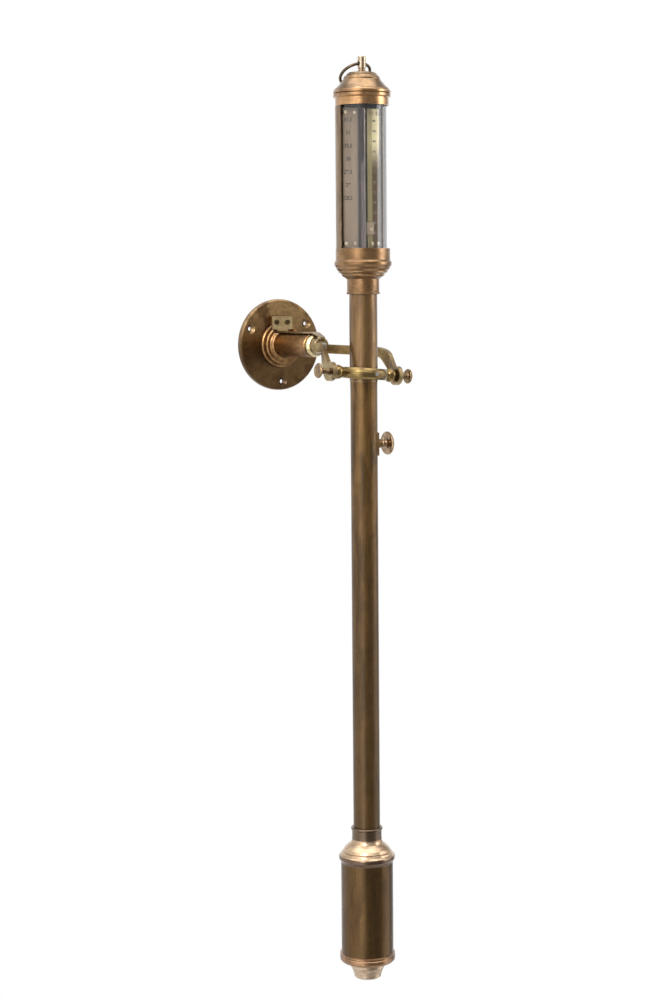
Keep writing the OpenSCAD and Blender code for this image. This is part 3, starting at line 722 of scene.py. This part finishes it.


# The finishes of the object's own pieces
# Painted shade darkens the wall plate's lower part.
PLATE = Brass(
    "wall_plate_brass", (0.46, 0.285, 0.120), (0.085, 0.040, 0.012), (0.03, 0.017, 0.007),
    (0.98, 0.88, 0.70), spindle=ARM_LINE, rough=0.36, making=Making.CAST, spread=0.40, blotch=0.6,
    wear=1.0, lacquer=0.4, darker_below=0.048, darker_reach=0.060, darker_share=0.75,
)
CAST = Brass(
    "cast_brass", (0.43, 0.315, 0.150), (0.19, 0.120, 0.050), making=Making.CAST, rough=0.34, spread=0.4,
)
SOCKET = Brass(
    "socket_brass", (0.50, 0.275, 0.100), (0.20, 0.095, 0.032), spindle=ARM_LINE, rough=0.33, lacquer=0.4,
)
SPINDLE = Brass(
    "spindle_brass", (0.90, 0.76, 0.42), (0.44, 0.33, 0.15), spindle=ARM_LINE, rough=0.22, spread=0.25,
)
CATCH = Brass(
    "catch_brass", (0.72, 0.54, 0.29), (0.40, 0.28, 0.12), making=Making.CAST, rough=0.32, spread=0.35,
)
DARK_SCREW = Brass(
    "dark_screw_brass", (0.13, 0.090, 0.036), (0.05, 0.032, 0.014), making=Making.CAST, rough=0.40,
    wear=0.2, lacquer=0.1,
)
PIVOT = Brass(
    "pivot_brass", (0.36, 0.235, 0.105), (0.17, 0.100, 0.040), spindle=PIVOT_LINE, rough=0.28,
)
RING = Brass(
    "gimbal_brass", (0.34, 0.225, 0.070), (0.16, 0.098, 0.028), rough=0.26, spread=0.40,
)
UPPER_TUBE = Brass(
    "upper_tube_brass", (0.285, 0.158, 0.054), (0.16, 0.082, 0.026), making=Making.DRAWN, rough=0.40,
    spread=0.4, lacquer=0.9,
)
# Painted shade darkens the tube's lower part.
TUBE = Brass(
    "drawn_tube_brass", (0.225, 0.120, 0.034), (0.083, 0.043, 0.012), making=Making.DRAWN, rough=0.50,
    spread=0.40, lacquer=0.6, darker_below=-0.06, darker_reach=0.28, darker_share=0.6, blotch=0.4,
)
SHELL = Brass(
    "shell_brass", (0.34, 0.230, 0.125), (0.19, 0.120, 0.060), making=Making.DRAWN, rough=0.40,
    black_inside=0.0250,
)
HEAD = Brass(
    "turned_head_brass", (0.42, 0.250, 0.112), (0.22, 0.118, 0.046), rough=0.27, spread=0.45, lacquer=0.9,
)
SKIRT = Brass(
    "cap_skirt_brass", (0.64, 0.345, 0.140), (0.32, 0.160, 0.060), rough=0.25, spread=0.35, lacquer=1.0,
)
HEAD_FOOT = Brass(
    "head_foot_brass", (0.39, 0.215, 0.092), (0.22, 0.115, 0.044), rough=0.33, spread=0.4,
)
POST = Brass("post_brass", (0.70, 0.55, 0.40), (0.42, 0.30, 0.18), rough=0.22, spread=0.3)
HANGER = Brass(
    "hanger_brass", (0.17, 0.115, 0.06), (0.07, 0.042, 0.02), making=Making.CAST, rough=0.34,
)
CISTERN = Brass(
    "cistern_case_brass", (0.138, 0.074, 0.023), (0.084, 0.043, 0.012), making=Making.DRAWN, rough=0.32,
    spread=0.40, wear=0.4, lacquer=0.4, blotch=0.15,
)
SHOULDER = Brass(
    "shoulder_brass", (0.66, 0.47, 0.29), (0.48, 0.31, 0.18), rough=0.30, spread=0.35, lacquer=0.9,
    bands=((-0.5008, -0.4858, (0.085, 0.044, 0.018)), (-0.5300, -0.5174, (0.095, 0.046, 0.021))),
)
FLANGE = Brass(
    "flange_brass", (0.46, 0.245, 0.115), (0.23, 0.118, 0.052), rough=0.27, lacquer=0.9,
)
BASE_KNOB = Brass(
    "base_knob_brass", (0.70, 0.53, 0.38), (0.44, 0.31, 0.20), rough=0.31, spread=0.25,
    bands=((-0.6240, -0.6228, (0.36, 0.24, 0.15)), (-0.6265, -0.6256, (0.40, 0.27, 0.18))),
)
KNOB = Brass(
    "vernier_knob_brass", (0.50, 0.345, 0.205), (0.28, 0.17, 0.085), spindle=KNOB_LINE, rough=0.25,
)
ROD = Brass("rod_brass", (0.50, 0.42, 0.20), (0.30, 0.22, 0.10), making=Making.CAST)
SCREW = Brass(
    "screw_brass", (0.62, 0.53, 0.38), (0.36, 0.29, 0.18), making=Making.CAST, rough=0.26, spread=0.3,
)
SILVERED_LEFT = Silvered("silvered_left", (0.38, 0.285, 0.20), (0.21, 0.15, 0.10))
SILVERED_RIGHT = Silvered(
    "silvered_right", (0.95, 0.85, 0.53), (0.24, 0.18, 0.105), (0.092, 0.052, 0.020), 0.0101,
)
INK = Plain("engraving_wax", (0.035, 0.030, 0.026), (0.012, 0.010, 0.010), rough=0.6)
FAINT_INK = Plain("worn_wax", (0.20, 0.18, 0.14), (0.12, 0.10, 0.08), rough=0.6)
STEEL = Plain(
    "turned_steel", (0.50, 0.48, 0.45), (0.26, 0.24, 0.22), rough=0.35, metallic=1.0, relief=0.05,
)
MERCURY = Plain(
    "liquid_mercury", (0.78, 0.78, 0.80), (0.70, 0.70, 0.73), (8.0, 8.0, 8.0), rough=0.09,
    metallic=1.0, relief=0.0,
)
BOXWOOD = Plain(
    "turned_boxwood", (0.62, 0.43, 0.21), (0.42, 0.26, 0.11), (900.0, 900.0, 40.0), rough=0.45,
)
CORK = Plain(
    "cut_cork", (0.50, 0.31, 0.16), (0.22, 0.12, 0.06), (700.0, 700.0, 700.0), rough=0.85, relief=0.6,
)
LEATHER = Plain(
    "bag_leather_hide", (0.42, 0.27, 0.15), (0.24, 0.14, 0.07), (500.0, 500.0, 500.0), rough=0.7,
    relief=0.4,
)
GLASS = ClearGlass()
TUBE_GLASS = ClearGlass("tube_glass", (0.52, 0.43, 0.44), (0.07, 0.05, 0.06))

Finish = Brass | Silvered | Plain | ClearGlass


@functools.cache
def material_of(finish: Finish) -> bpy.types.Material:
    """The material of a finish, made once."""
    return finish.material()


def dress(finishes: dict[str, Finish]) -> None:
    """Gives CAD nodes their finishes.

    Args:
        finishes: The finish of each node, by the node's name.
    """
    for node, finish in finishes.items():
        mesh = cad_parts[node].data
        mesh.materials.clear()
        mesh.materials.append(material_of(finish))
        log.info("dressed %s in %s", node, finish.name)


def settle(piece: bpy.types.Object, body: Body) -> None:
    """Ties a finished piece to its body, and reports it.

    Args:
        piece: The piece, with its place in its mesh.
        body: The body that it rides on.
    """
    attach(piece, body.value)
    log.info("placed %s on %s, %d faces", piece.name, body.value, len(piece.data.polygons))


def mesh_piece(name: str, mesh: bpy.types.Mesh, place: Matrix) -> bpy.types.Object:
    """Makes an object of a mesh, with its place in the mesh.

    Args:
        name: The object's name.
        mesh: The mesh.
        place: Where it goes.

    Returns:
        The object, at the origin.
    """
    mesh.transform(place)
    made = bpy.data.objects.new(name, mesh)
    bpy.context.scene.collection.objects.link(made)
    return made


class PatternTree:
    """A Geometry Nodes tree that repeats a shape."""

    def __init__(self, name: str, sizes: dict[str, str]) -> None:
        """Starts the tree with named inputs.

        Args:
            name: The tree's name.
            sizes: Input names and their socket types.
        """
        self.tree = bpy.data.node_groups.new(name, "GeometryNodeTree")
        face = self.tree.interface
        face.new_socket("Geometry", in_out="INPUT", socket_type="NodeSocketGeometry")
        for label, kind in sizes.items():
            face.new_socket(label, in_out="INPUT", socket_type=kind)
        face.new_socket("Finish", in_out="INPUT", socket_type="NodeSocketMaterial")
        face.new_socket("Geometry", in_out="OUTPUT", socket_type="NodeSocketGeometry")
        self.inputs = self.tree.nodes.new("NodeGroupInput")

    def add(
        self, kind: str, feeds: dict[str | int, object] | None = None, **settings: object,
    ) -> bpy.types.Node:
        """Adds a node, sets its properties and fills its inputs.

        Args:
            kind: Blender's name for the node type.
            feeds: Input names or numbers, and what fills them.
            settings: Property names and values.

        Returns:
            The new node.
        """
        made = self.tree.nodes.new(kind)
        for key, value in settings.items():
            setattr(made, key, value)
        for key, value in (feeds or {}).items():
            if isinstance(value, Socket):
                self.tree.links.new(value, made.inputs[key])
            else:
                made.inputs[key].default_value = value
        return made

    def size(self, name: str) -> Socket:
        """One of the tree's own inputs."""
        return self.inputs.outputs[name]

    def close(self, geometry: Socket) -> bpy.types.NodeTree:
        """Ends the tree in real geometry with its finish.

        Args:
            geometry: What the tree has made.

        Returns:
            The tree.
        """
        real = self.add("GeometryNodeRealizeInstances", {"Geometry": geometry})
        dressed = self.add("GeometryNodeSetMaterial", {
            "Geometry": real.outputs[0], "Material": self.size("Finish"),
        })
        out = self.tree.nodes.new("NodeGroupOutput")
        self.tree.links.new(dressed.outputs[0], out.inputs[0])
        return self.tree


def run_pattern(tree: bpy.types.NodeTree, name: str, values: dict[str, object]) -> bpy.types.Mesh:
    """Runs a pattern tree once and keeps its result as a plain mesh.

    Args:
        tree: The Geometry Nodes tree.
        name: Name for the result.
        values: The tree's inputs by name.

    Returns:
        The result's mesh.
    """
    carrier = bpy.data.objects.new(name + "_carrier", bpy.data.meshes.new(name + "_start"))
    bpy.context.scene.collection.objects.link(carrier)
    modifier = carrier.modifiers.new("pattern", "NODES")
    modifier.node_group = tree
    for item in tree.interface.items_tree:
        if item.item_type == "SOCKET" and item.in_out == "INPUT" and item.name in values:
            modifier[item.identifier] = values[item.name]
    carrier.update_tag()
    bpy.context.view_layer.update()
    graph = bpy.context.evaluated_depsgraph_get()
    mesh = bpy.data.meshes.new_from_object(carrier.evaluated_get(graph))
    mesh.name = name
    carrier.modifiers.clear()
    bpy.data.objects.remove(carrier)
    return mesh


class Patterns:
    """The trees for what repeats on the object."""

    def __init__(self) -> None:
        """Builds the trees."""
        self.knurl = self._knurl()
        self.ticks = self._ticks()
        self.thread = self._thread()

    @staticmethod
    def _knurl() -> bpy.types.NodeTree:
        """Fine ridges round a rim, about +Z."""
        tree = PatternTree("knurled_rim", {
            "Count": "NodeSocketInt", "Radius": "NodeSocketFloat",
            "Ridge": "NodeSocketFloat", "Length": "NodeSocketFloat",
        })
        ring = tree.add("GeometryNodeMeshCircle", {
            "Vertices": tree.size("Count"), "Radius": tree.size("Radius"),
        })
        ridge = tree.add("GeometryNodeMeshCylinder", {
            "Vertices": 6, "Radius": tree.size("Ridge"), "Depth": tree.size("Length"),
        })
        where = tree.add("GeometryNodeInputPosition")
        facing = tree.add("FunctionNodeAlignRotationToVector", {"Vector": where.outputs[0]}, axis="X")
        copies = tree.add("GeometryNodeInstanceOnPoints", {
            "Points": ring.outputs[0], "Instance": ridge.outputs[0], "Rotation": facing.outputs[0],
        })
        return tree.close(copies.outputs[0])

    @staticmethod
    def _ticks() -> bpy.types.NodeTree:
        """A ladder of lines up +Z, with every fifth and tenth line longer."""
        tree = PatternTree("scale_lines", {
            "Count": "NodeSocketInt", "Pitch": "NodeSocketFloat", "Short": "NodeSocketFloat",
            "Middle": "NodeSocketFloat", "Long": "NodeSocketFloat", "Width": "NodeSocketFloat",
            "Depth": "NodeSocketFloat",
        })
        step = tree.add("ShaderNodeCombineXYZ", {2: tree.size("Pitch")})
        line = tree.add("GeometryNodeMeshLine", {"Count": tree.size("Count"), "Offset": step.outputs[0]})
        index = tree.add("GeometryNodeInputIndex")
        every = []
        for step_count in (5.0, 10.0):
            over = tree.add("ShaderNodeMath", {0: index.outputs[0], 1: step_count}, operation="MODULO")
            every.append(tree.add("ShaderNodeMath", {0: over.outputs[0], 1: 0.5}, operation="LESS_THAN"))
        first = tree.add("GeometryNodeSwitch", {
            "Switch": every[0].outputs[0], "False": tree.size("Short"), "True": tree.size("Middle"),
        }, input_type="FLOAT")
        second = tree.add("GeometryNodeSwitch", {
            "Switch": every[1].outputs[0], "False": first.outputs[0], "True": tree.size("Long"),
        }, input_type="FLOAT")
        size = tree.add("ShaderNodeCombineXYZ", {
            0: second.outputs[0], 1: tree.size("Depth"), 2: tree.size("Width"),
        })
        block = tree.add("GeometryNodeMeshCube", {"Size": (1.0, 1.0, 1.0)})
        moved = tree.add("GeometryNodeTransform", {
            "Geometry": block.outputs[0], "Translation": (0.5, 0.0, 0.0),
        })
        copies = tree.add("GeometryNodeInstanceOnPoints", {
            "Points": line.outputs[0], "Instance": moved.outputs[0], "Scale": size.outputs[0],
        })
        return tree.close(copies.outputs[0])

    @staticmethod
    def _thread() -> bpy.types.NodeTree:
        """A screw thread up +Z from the origin."""
        tree = PatternTree("screw_thread", {
            "Turns": "NodeSocketFloat", "Radius": "NodeSocketFloat",
            "Length": "NodeSocketFloat", "Crest": "NodeSocketFloat",
        })
        helix = tree.add("GeometryNodeCurveSpiral", {
            "Resolution": 20, "Rotations": tree.size("Turns"), "Start Radius": tree.size("Radius"),
            "End Radius": tree.size("Radius"), "Height": tree.size("Length"),
        })
        section = tree.add("GeometryNodeCurvePrimitiveCircle", {
            "Resolution": 5, "Radius": tree.size("Crest"),
        })
        ridge = tree.add("GeometryNodeCurveToMesh", {
            "Curve": helix.outputs[0], "Profile Curve": section.outputs[0], "Fill Caps": True,
        })
        return tree.close(ridge.outputs[0])


class WallBracket:
    """The wall plate, socket, spring catch, spindle and fork."""

    def build(self) -> None:
        """Dresses the bracket."""
        dress({
            "wall_plate": PLATE, "arm_socket": SOCKET, "socket_screws": STEEL,
            "catch_plate": CATCH, "catch_leaf": CAST, "catch_screws": DARK_SCREW,
            "arm_spindle": SPINDLE, "gimbal_fork": CAST, "fork_pin": STEEL,
        })


@dataclass
class Gimbal:
    """The gimbal ring, its pins and thumbscrews.

    Args:
        patterns: The trees for what repeats.
        thumb_radius: Radius of a thumbscrew's head, in millimetres like all sizes here.
        thumb_start: Distance of the head's ridges from the ring's middle.
        thumb_end: Distance at which they end.
        neck_start: Distance of the thread from the ring's middle.
        neck_end: Distance at which it ends.
        neck_radius: Radius of the threaded neck.
        thread_pitch: Height of one turn of the thread.
        ridges: How many ridges a head has.
        ridge: Radius of a ridge and of the thread's crest.
        sunk: How deep a ridge's middle lies under the rim.
    """

    patterns: Patterns
    thumb_radius: float = 7.25
    thumb_start: float = 52.4
    thumb_end: float = 53.5
    neck_start: float = 41.5
    neck_end: float = 49.6
    neck_radius: float = 3.0
    thread_pitch: float = 0.7
    ridges: int = 48
    ridge: float = 0.24
    sunk: float = 0.05

    def build(self) -> None:
        """Dresses the gimbal and knurls the thumbscrews."""
        dress({
            "thumbscrew_left": PIVOT, "thumbscrew_right": PIVOT, "gimbal_ring": RING,
            "gimbal_pins": STEEL, "trunnion_collar": RING, "gimbal_sleeve": UPPER_TUBE,
        })
        for side, body in ((-1, Body.LEFT_SCREW), (1, Body.RIGHT_SCREW)):
            self._knurl(side, body)
            self._neck(side, body)

    def _knurl(self, side: int, body: Body) -> None:
        """Puts ridges round one thumbscrew's head.

        Args:
            side: -1 for the left, 1 for the right.
            body: The thumbscrew's body.
        """
        name = f"thumb_knurl_{'left' if side < 0 else 'right'}"
        mesh = run_pattern(self.patterns.knurl, name, {
            "Count": self.ridges, "Radius": (self.thumb_radius - self.sunk) * MM, "Ridge": self.ridge * MM,
            "Length": (self.thumb_end - self.thumb_start) * MM, "Finish": material_of(PIVOT),
        })
        middle = side * (self.thumb_start + self.thumb_end) / 2
        settle(mesh_piece(name, mesh, on_pivot(middle)), body)

    def _neck(self, side: int, body: Body) -> None:
        """Cuts the thread on one thumbscrew's neck.

        Args:
            side: -1 for the left, 1 for the right.
            body: The thumbscrew's body.
        """
        name = f"thumb_thread_{'left' if side < 0 else 'right'}"
        length = self.neck_end - self.neck_start
        mesh = run_pattern(self.patterns.thread, name, {
            "Turns": length / self.thread_pitch, "Radius": self.neck_radius * MM, "Length": length * MM,
            "Crest": self.ridge * MM, "Finish": material_of(PIVOT),
        })
        start = self.neck_start if side > 0 else -self.neck_end
        settle(mesh_piece(name, mesh, on_pivot(start)), body)


@dataclass
class Head:
    """The glazed head with its cap, scale plates and hanging ring.

    Args:
        patterns: The trees for what repeats.
        plate_face: Place of the plates' front, in millimetres behind the axis, like all sizes here.
        first_inch: Inches of mercury at the lowest line.
        line_edges: Where the left and the right lines start, from the axis.
        line_count: How many lines a plate has, a tenth of an inch apart.
        line_lengths: Length of a plain, a fifth and a tenth line.
        line_width: Width of a line.
        half_inches: The numbered half inches over the first inch.
        inch_middle: Middle of the left numbers.
        inch_height: Height of the left numbers.
        millimetres: The numbered millimetres of mercury.
        mm_middle: Middle of the right numbers.
        mm_height: Height of the right numbers.
        digit_relief: Half the depth of a digit.
        digit_weight: What a digit's strokes gain on each side.
    """

    patterns: Patterns
    plate_face: float = 1.0
    first_inch: float = 27.0
    line_edges: tuple[float, float] = (-4.5, 6.7)
    line_count: int = 51
    line_lengths: tuple[float, float, float] = (2.0, 3.2, 4.4)
    line_width: float = 0.22
    half_inches: range = range(3, 10)
    inch_middle: float = -15.6
    inch_height: float = 5.4
    millimetres: range = range(690, 810, 10)
    mm_middle: float = 14.6
    mm_height: float = 2.6
    digit_relief: float = 0.03
    digit_weight: float = 0.14

    def build(self) -> None:
        """Dresses the head and engraves its plates."""
        dress({
            "head_base": HEAD_FOOT, "head_shell": SHELL, "glass_cylinder": GLASS, "cap_ring": SKIRT,
            "cap_dome": HEAD, "hanging_post": POST, "hanging_ring": HANGER,
            "scale_plate_left": SILVERED_LEFT, "scale_plate_right": SILVERED_RIGHT,
            "rail_lower": SHELL, "rail_upper": SHELL, "plate_screws": SCREW,
            "mercury_tube": TUBE_GLASS, "mercury_column": MERCURY, "tube_packings": CORK,
        })
        self._lines()
        self._numbers()

    def _lines(self) -> None:
        """Cuts the scale lines of both plates."""
        short, middle, long = (length * MM for length in self.line_lengths)
        start = POOL_LEVEL + INCH * self.first_inch
        for name, edge, turn, finish in zip(
            ("left", "right"), self.line_edges, (math.pi, 0.0), (INK, FAINT_INK),
        ):
            mesh = run_pattern(self.patterns.ticks, f"scale_lines_{name}", {
                "Count": self.line_count, "Pitch": INCH / 10 * MM, "Short": short, "Middle": middle,
                "Long": long, "Width": self.line_width * MM, "Depth": LINE_DEPTH * MM,
                "Finish": material_of(finish),
            })
            place = Matrix.Translation(tube_place(edge, self.plate_face, start))
            place = place @ Matrix.Rotation(turn, 4, "Z")
            settle(mesh_piece(f"scale_lines_{name}", mesh, place), Body.BAROMETER)

    def _numbers(self) -> None:
        """Cuts the numbers beside the lines: inches on the left, millimetres on the right."""
        for half in self.half_inches:
            inches = self.first_inch + half / 2
            label = f"{inches:.0f}" if half % 2 == 0 else f"{inches:.1f}"
            spot = (self.inch_middle, POOL_LEVEL + INCH * inches)
            self._number(f"inch_{half}", label, spot, self.inch_height, INK)
        for number in self.millimetres:
            spot = (self.mm_middle, POOL_LEVEL + number)
            self._number(f"mm_{number}", str(number), spot, self.mm_height, FAINT_INK)

    def _number(
        self, name: str, label: str, spot: tuple[float, float], size: float, finish: Finish,
    ) -> None:
        """Cuts one number into a plate.

        Args:
            name: End of the piece's name.
            label: The digits.
            spot: Their middle, in millimetres to the right of the axis and up.
            size: Their height, in millimetres.
            finish: What fills them.
        """
        curve = bpy.data.curves.new(f"digits_{name}", "FONT")
        curve.body = label
        curve.size = size * MM
        curve.extrude = self.digit_relief * MM
        curve.offset = self.digit_weight * MM
        curve.align_x = "CENTER"
        curve.align_y = "CENTER"
        carrier = bpy.data.objects.new(f"digits_{name}_carrier", curve)
        bpy.context.scene.collection.objects.link(carrier)
        bpy.context.view_layer.update()
        mesh = bpy.data.meshes.new_from_object(carrier.evaluated_get(bpy.context.evaluated_depsgraph_get()))
        bpy.data.objects.remove(carrier)
        mesh.materials.clear()
        mesh.materials.append(material_of(finish))
        place = facing_out(spot[0], self.plate_face, spot[1])
        settle(mesh_piece(f"digits_{name}", mesh, place), Body.BAROMETER)


@dataclass
class VernierDrive:
    """The vernier, its rack and pinion, and the knob.

    Args:
        patterns: The trees for what repeats.
        knob_radius: Radius of the knob, in millimetres like all sizes here.
        rim_middle: Middle of the knob's rim, to the right of the axis.
        rim_width: Length of the rim's ridges.
        ridges: How many ridges the rim has.
        ridge: Radius of a ridge.
        sunk: How deep a ridge's middle lies under the rim.
        lines_at: The lowest line's start: right of the axis, behind it, and up.
        line_count: How many lines the vernier has.
        line_pitch: Distance between its lines.
        line_lengths: Length of a plain line, and of a fifth and tenth line.
        line_width: Width of a line.
    """

    patterns: Patterns
    knob_radius: float = 11.5
    rim_middle: float = 27.6
    rim_width: float = 1.3
    ridges: int = 72
    ridge: float = 0.25
    sunk: float = 0.08
    lines_at: tuple[float, float, float] = (4.1, -1.2, 112.7)
    line_count: int = 11
    line_pitch: float = 0.9
    line_lengths: tuple[float, float] = (1.3, 2.0)
    line_width: float = 0.16

    def build(self) -> None:
        """Dresses the drive and knurls the knob."""
        dress({
            "vernier_plate": SILVERED_LEFT, "vernier_screw": SCREW, "rack_rod": ROD,
            "pinion_shaft": STEEL, "vernier_knob": KNOB, "pinion_saddle": TUBE,
            "saddle_screws": SCREW,
        })
        mesh = run_pattern(self.patterns.knurl, "knob_knurl", {
            "Count": self.ridges, "Radius": (self.knob_radius - self.sunk) * MM, "Ridge": self.ridge * MM,
            "Length": self.rim_width * MM, "Finish": material_of(KNOB),
        })
        settle(mesh_piece("knob_knurl", mesh, across(self.rim_middle, KNOB_Z)), Body.KNOB)
        self._vernier_lines()

    def _vernier_lines(self) -> None:
        """Cuts the vernier's lines beside the glass tube."""
        short, long = (length * MM for length in self.line_lengths)
        mesh = run_pattern(self.patterns.ticks, "vernier_lines", {
            "Count": self.line_count, "Pitch": self.line_pitch * MM, "Short": short, "Middle": long,
            "Long": long, "Width": self.line_width * MM, "Depth": LINE_DEPTH * MM,
            "Finish": material_of(INK),
        })
        place = Matrix.Translation(tube_place(*self.lines_at))
        settle(mesh_piece("vernier_lines", mesh, place), Body.VERNIER)


class TubeAndCistern:
    """The long tube, the cistern and what is inside it."""

    def build(self) -> None:
        """Dresses the tube and cistern."""
        dress({
            "main_tube": TUBE, "cistern_top": SHOULDER, "cistern_case": CISTERN,
            "cistern_base": FLANGE, "cistern_cup": BOXWOOD, "cup_lid": BOXWOOD,
            "mercury_pool": MERCURY, "leather_bag": LEATHER, "pressure_pad": BOXWOOD,
            "adjusting_screw": STEEL, "adjusting_knob": BASE_KNOB,
        })


@dataclass(frozen=True)
class SoftLight:
    """A soft light of the studio, at infinity.

    Args:
        toward: Direction from the object to the light.
        inner: Cosine of the angle of its full part.
        outer: Cosine of the angle at which it has faded out.
        strength: Brightness over the room's.
        lift: Share of the height that counts in a direction. A small share makes a tall light.
    """

    toward: tuple[float, float, float]
    inner: float
    outer: float
    strength: float
    lift: float = 0.35


@dataclass(frozen=True)
class Lamp:
    """A square soft lamp.

    Args:
        name: The lamp's name.
        place: Where it stands, in metres.
        power: Its power, in watts.
        size: Its width, in metres.
        aim: What it points at, in metres.
    """

    name: str
    place: tuple[float, float, float]
    power: float
    size: float = 1.2
    aim: tuple[float, float, float] = (0.0, -0.176, -0.1)


@dataclass
class Studio:
    """Camera, floor and light.

    Args:
        heading: How far right of straight at the wall the camera looks, in degrees.
        dip: How far down it looks.
        roll: How far it leans.
        place: Where it stands, in metres.
        lens: Its focal length, in millimetres.
        film: Width and height of its sensor.
        floor_drop: Height of the floor, in metres.
        floor_reach: Half the floor's width.
        floor_shade: How pale the floor is.
        room: Brightness of the room.
        away: Level direction in which the camera looks.
        floor_fade: Distances along it over which metal and glass come to see the floor as white.
        room_fade: Cosines of the angle to it over which they come to see the room as white.
        lights: The room's soft lights.
        lamps: The lamps.
    """

    heading: float = 31.399
    dip: float = 5.771
    roll: float = -0.478
    place: tuple[float, float, float] = (-1.0613, -1.8513, 0.04725)
    lens: float = 71.3
    film: float = 36.0
    floor_drop: float = -1.15
    floor_reach: float = 1.0
    floor_shade: float = 0.5
    room: float = 0.26
    away: tuple[float, float] = (0.521, 0.854)
    floor_fade: tuple[float, float] = (0.3, 0.9)
    room_fade: tuple[float, float] = (0.55, 0.95)
    lights: tuple[SoftLight, ...] = (
        SoftLight((-0.800, -0.590, 0.03), 0.993, 0.965, 0.8),
        SoftLight((-0.860, -0.500, 0.03), 0.96, 0.86, 0.5),
        SoftLight((-0.900, 0.43, 0.03), 0.80, 0.35, 0.65),
        SoftLight((0.895, -0.446, 0.02), 0.97, 0.86, 0.85),
        SoftLight((-0.1, -0.2, 0.97), 0.93, 0.60, 1.9, 1.0),
    )
    lamps: tuple[Lamp, ...] = (
        Lamp("key_lamp", (-2.2, -2.0, 1.6), 28.0),
        Lamp("fill_lamp", (2.2, -1.6, 0.6), 12.0),
    )

    def build(self) -> None:
        """Makes the camera, the floor and the light."""
        self._camera()
        self._floor()
        self._world()
        self._lamps()
        bpy.context.scene.view_settings.view_transform = "Standard"

    def _camera(self) -> None:
        """Puts the camera where the picture was taken from."""
        data = bpy.data.cameras.new("camera")
        data.lens = self.lens
        data.sensor_width = self.film
        data.sensor_height = self.film
        data.sensor_fit = "AUTO"
        camera = bpy.data.objects.new("camera", data)
        bpy.context.scene.collection.objects.link(camera)
        turn = Matrix.Rotation(math.radians(-self.heading), 4, "Z")
        tip = Matrix.Rotation(math.radians(90.0 - self.dip), 4, "X")
        lean = Matrix.Rotation(math.radians(self.roll), 4, "Z")
        camera.matrix_world = Matrix.Translation(self.place) @ turn @ tip @ lean
        bpy.context.scene.camera = camera

    def _floor(self) -> None:
        """Lays a plain pale floor that the camera sees as white."""
        mesh = bpy.data.meshes.new("floor")
        reach = self.floor_reach
        corners = [(-reach, -reach, 0), (reach, -reach, 0), (reach, reach, 0), (-reach, reach, 0)]
        mesh.from_pydata(corners, [], [(0, 1, 2, 3)])
        floor = mesh_piece("floor", mesh, Matrix.Translation((0, 0, self.floor_drop)))
        sheet = ShaderSheet("pale_floor")
        matt = sheet.node("ShaderNodeBsdfDiffuse")
        matt.inputs["Color"].default_value = (*(self.floor_shade,) * 3, 1.0)
        glow = sheet.node("ShaderNodeEmission")
        far = sheet.vectors("DOT_PRODUCT", sheet.object_coords, (*self.away, 0.0)).outputs["Value"]
        both = sheet.node("ShaderNodeMixShader")
        sheet.feed(both.inputs[0], sheet.white_share(sheet.span(far, *self.floor_fade)))
        sheet.feed(both.inputs[1], matt.outputs[0])
        sheet.feed(both.inputs[2], glow.outputs[0])
        sheet.feed(sheet.output.inputs["Surface"], both.outputs[0])
        mesh.materials.append(sheet.material)

    def _world(self) -> None:
        """Makes a white room whose soft lights show in the metal."""
        world = bpy.data.worlds.new("studio")
        bpy.context.scene.world = world
        sheet = NodeSheet(world)
        look = sheet.node("ShaderNodeTexCoord").outputs["Generated"]
        level: object = self.room
        for light in self.lights:
            flat = sheet.vectors("MULTIPLY", look, (1.0, 1.0, light.lift))
            even = sheet.vectors("NORMALIZE", flat.outputs["Vector"])
            dot = sheet.vectors("DOT_PRODUCT", even.outputs["Vector"], Vector(light.toward).normalized())
            shine = sheet.span(dot.outputs["Value"], light.outer, light.inner, 0.0, light.strength)
            level = sheet.maths("ADD", shine, level)
        behind = sheet.vectors("DOT_PRODUCT", look, (*self.away, 0.0)).outputs["Value"]
        pick = sheet.node("ShaderNodeMix", data_type="FLOAT")
        sheet.feed(pick.inputs[0], sheet.white_share(sheet.span(behind, *self.room_fade)))
        sheet.feed(pick.inputs[2], level)
        sheet.feed(pick.inputs[3], 1.0)
        sky = sheet.node("ShaderNodeBackground")
        sheet.feed(sky.inputs["Color"], (1.0, 1.0, 1.0))
        sheet.feed(sky.inputs["Strength"], pick.outputs[0])
        sheet.feed(sheet.node("ShaderNodeOutputWorld").inputs["Surface"], sky.outputs[0])

    def _lamps(self) -> None:
        """Adds the key lamp over the camera's left shoulder and the fill lamp on the right."""
        for lamp in self.lamps:
            data = bpy.data.lights.new(lamp.name, "AREA")
            data.size = lamp.size
            data.energy = lamp.power
            made = bpy.data.objects.new(lamp.name, data)
            bpy.context.scene.collection.objects.link(made)
            turn = (Vector(lamp.aim) - Vector(lamp.place)).to_track_quat("-Z", "Y").to_matrix().to_4x4()
            made.matrix_world = Matrix.Translation(lamp.place) @ turn


def main() -> None:
    """Builds every sub-assembly in order."""
    logging.basicConfig(level=logging.INFO, format="%(message)s")
    patterns = Patterns()
    WallBracket().build()
    Gimbal(patterns).build()
    Head(patterns).build()
    VernierDrive(patterns).build()
    TubeAndCistern().build()
    Studio().build()


if __name__ == "__main__":
    main()
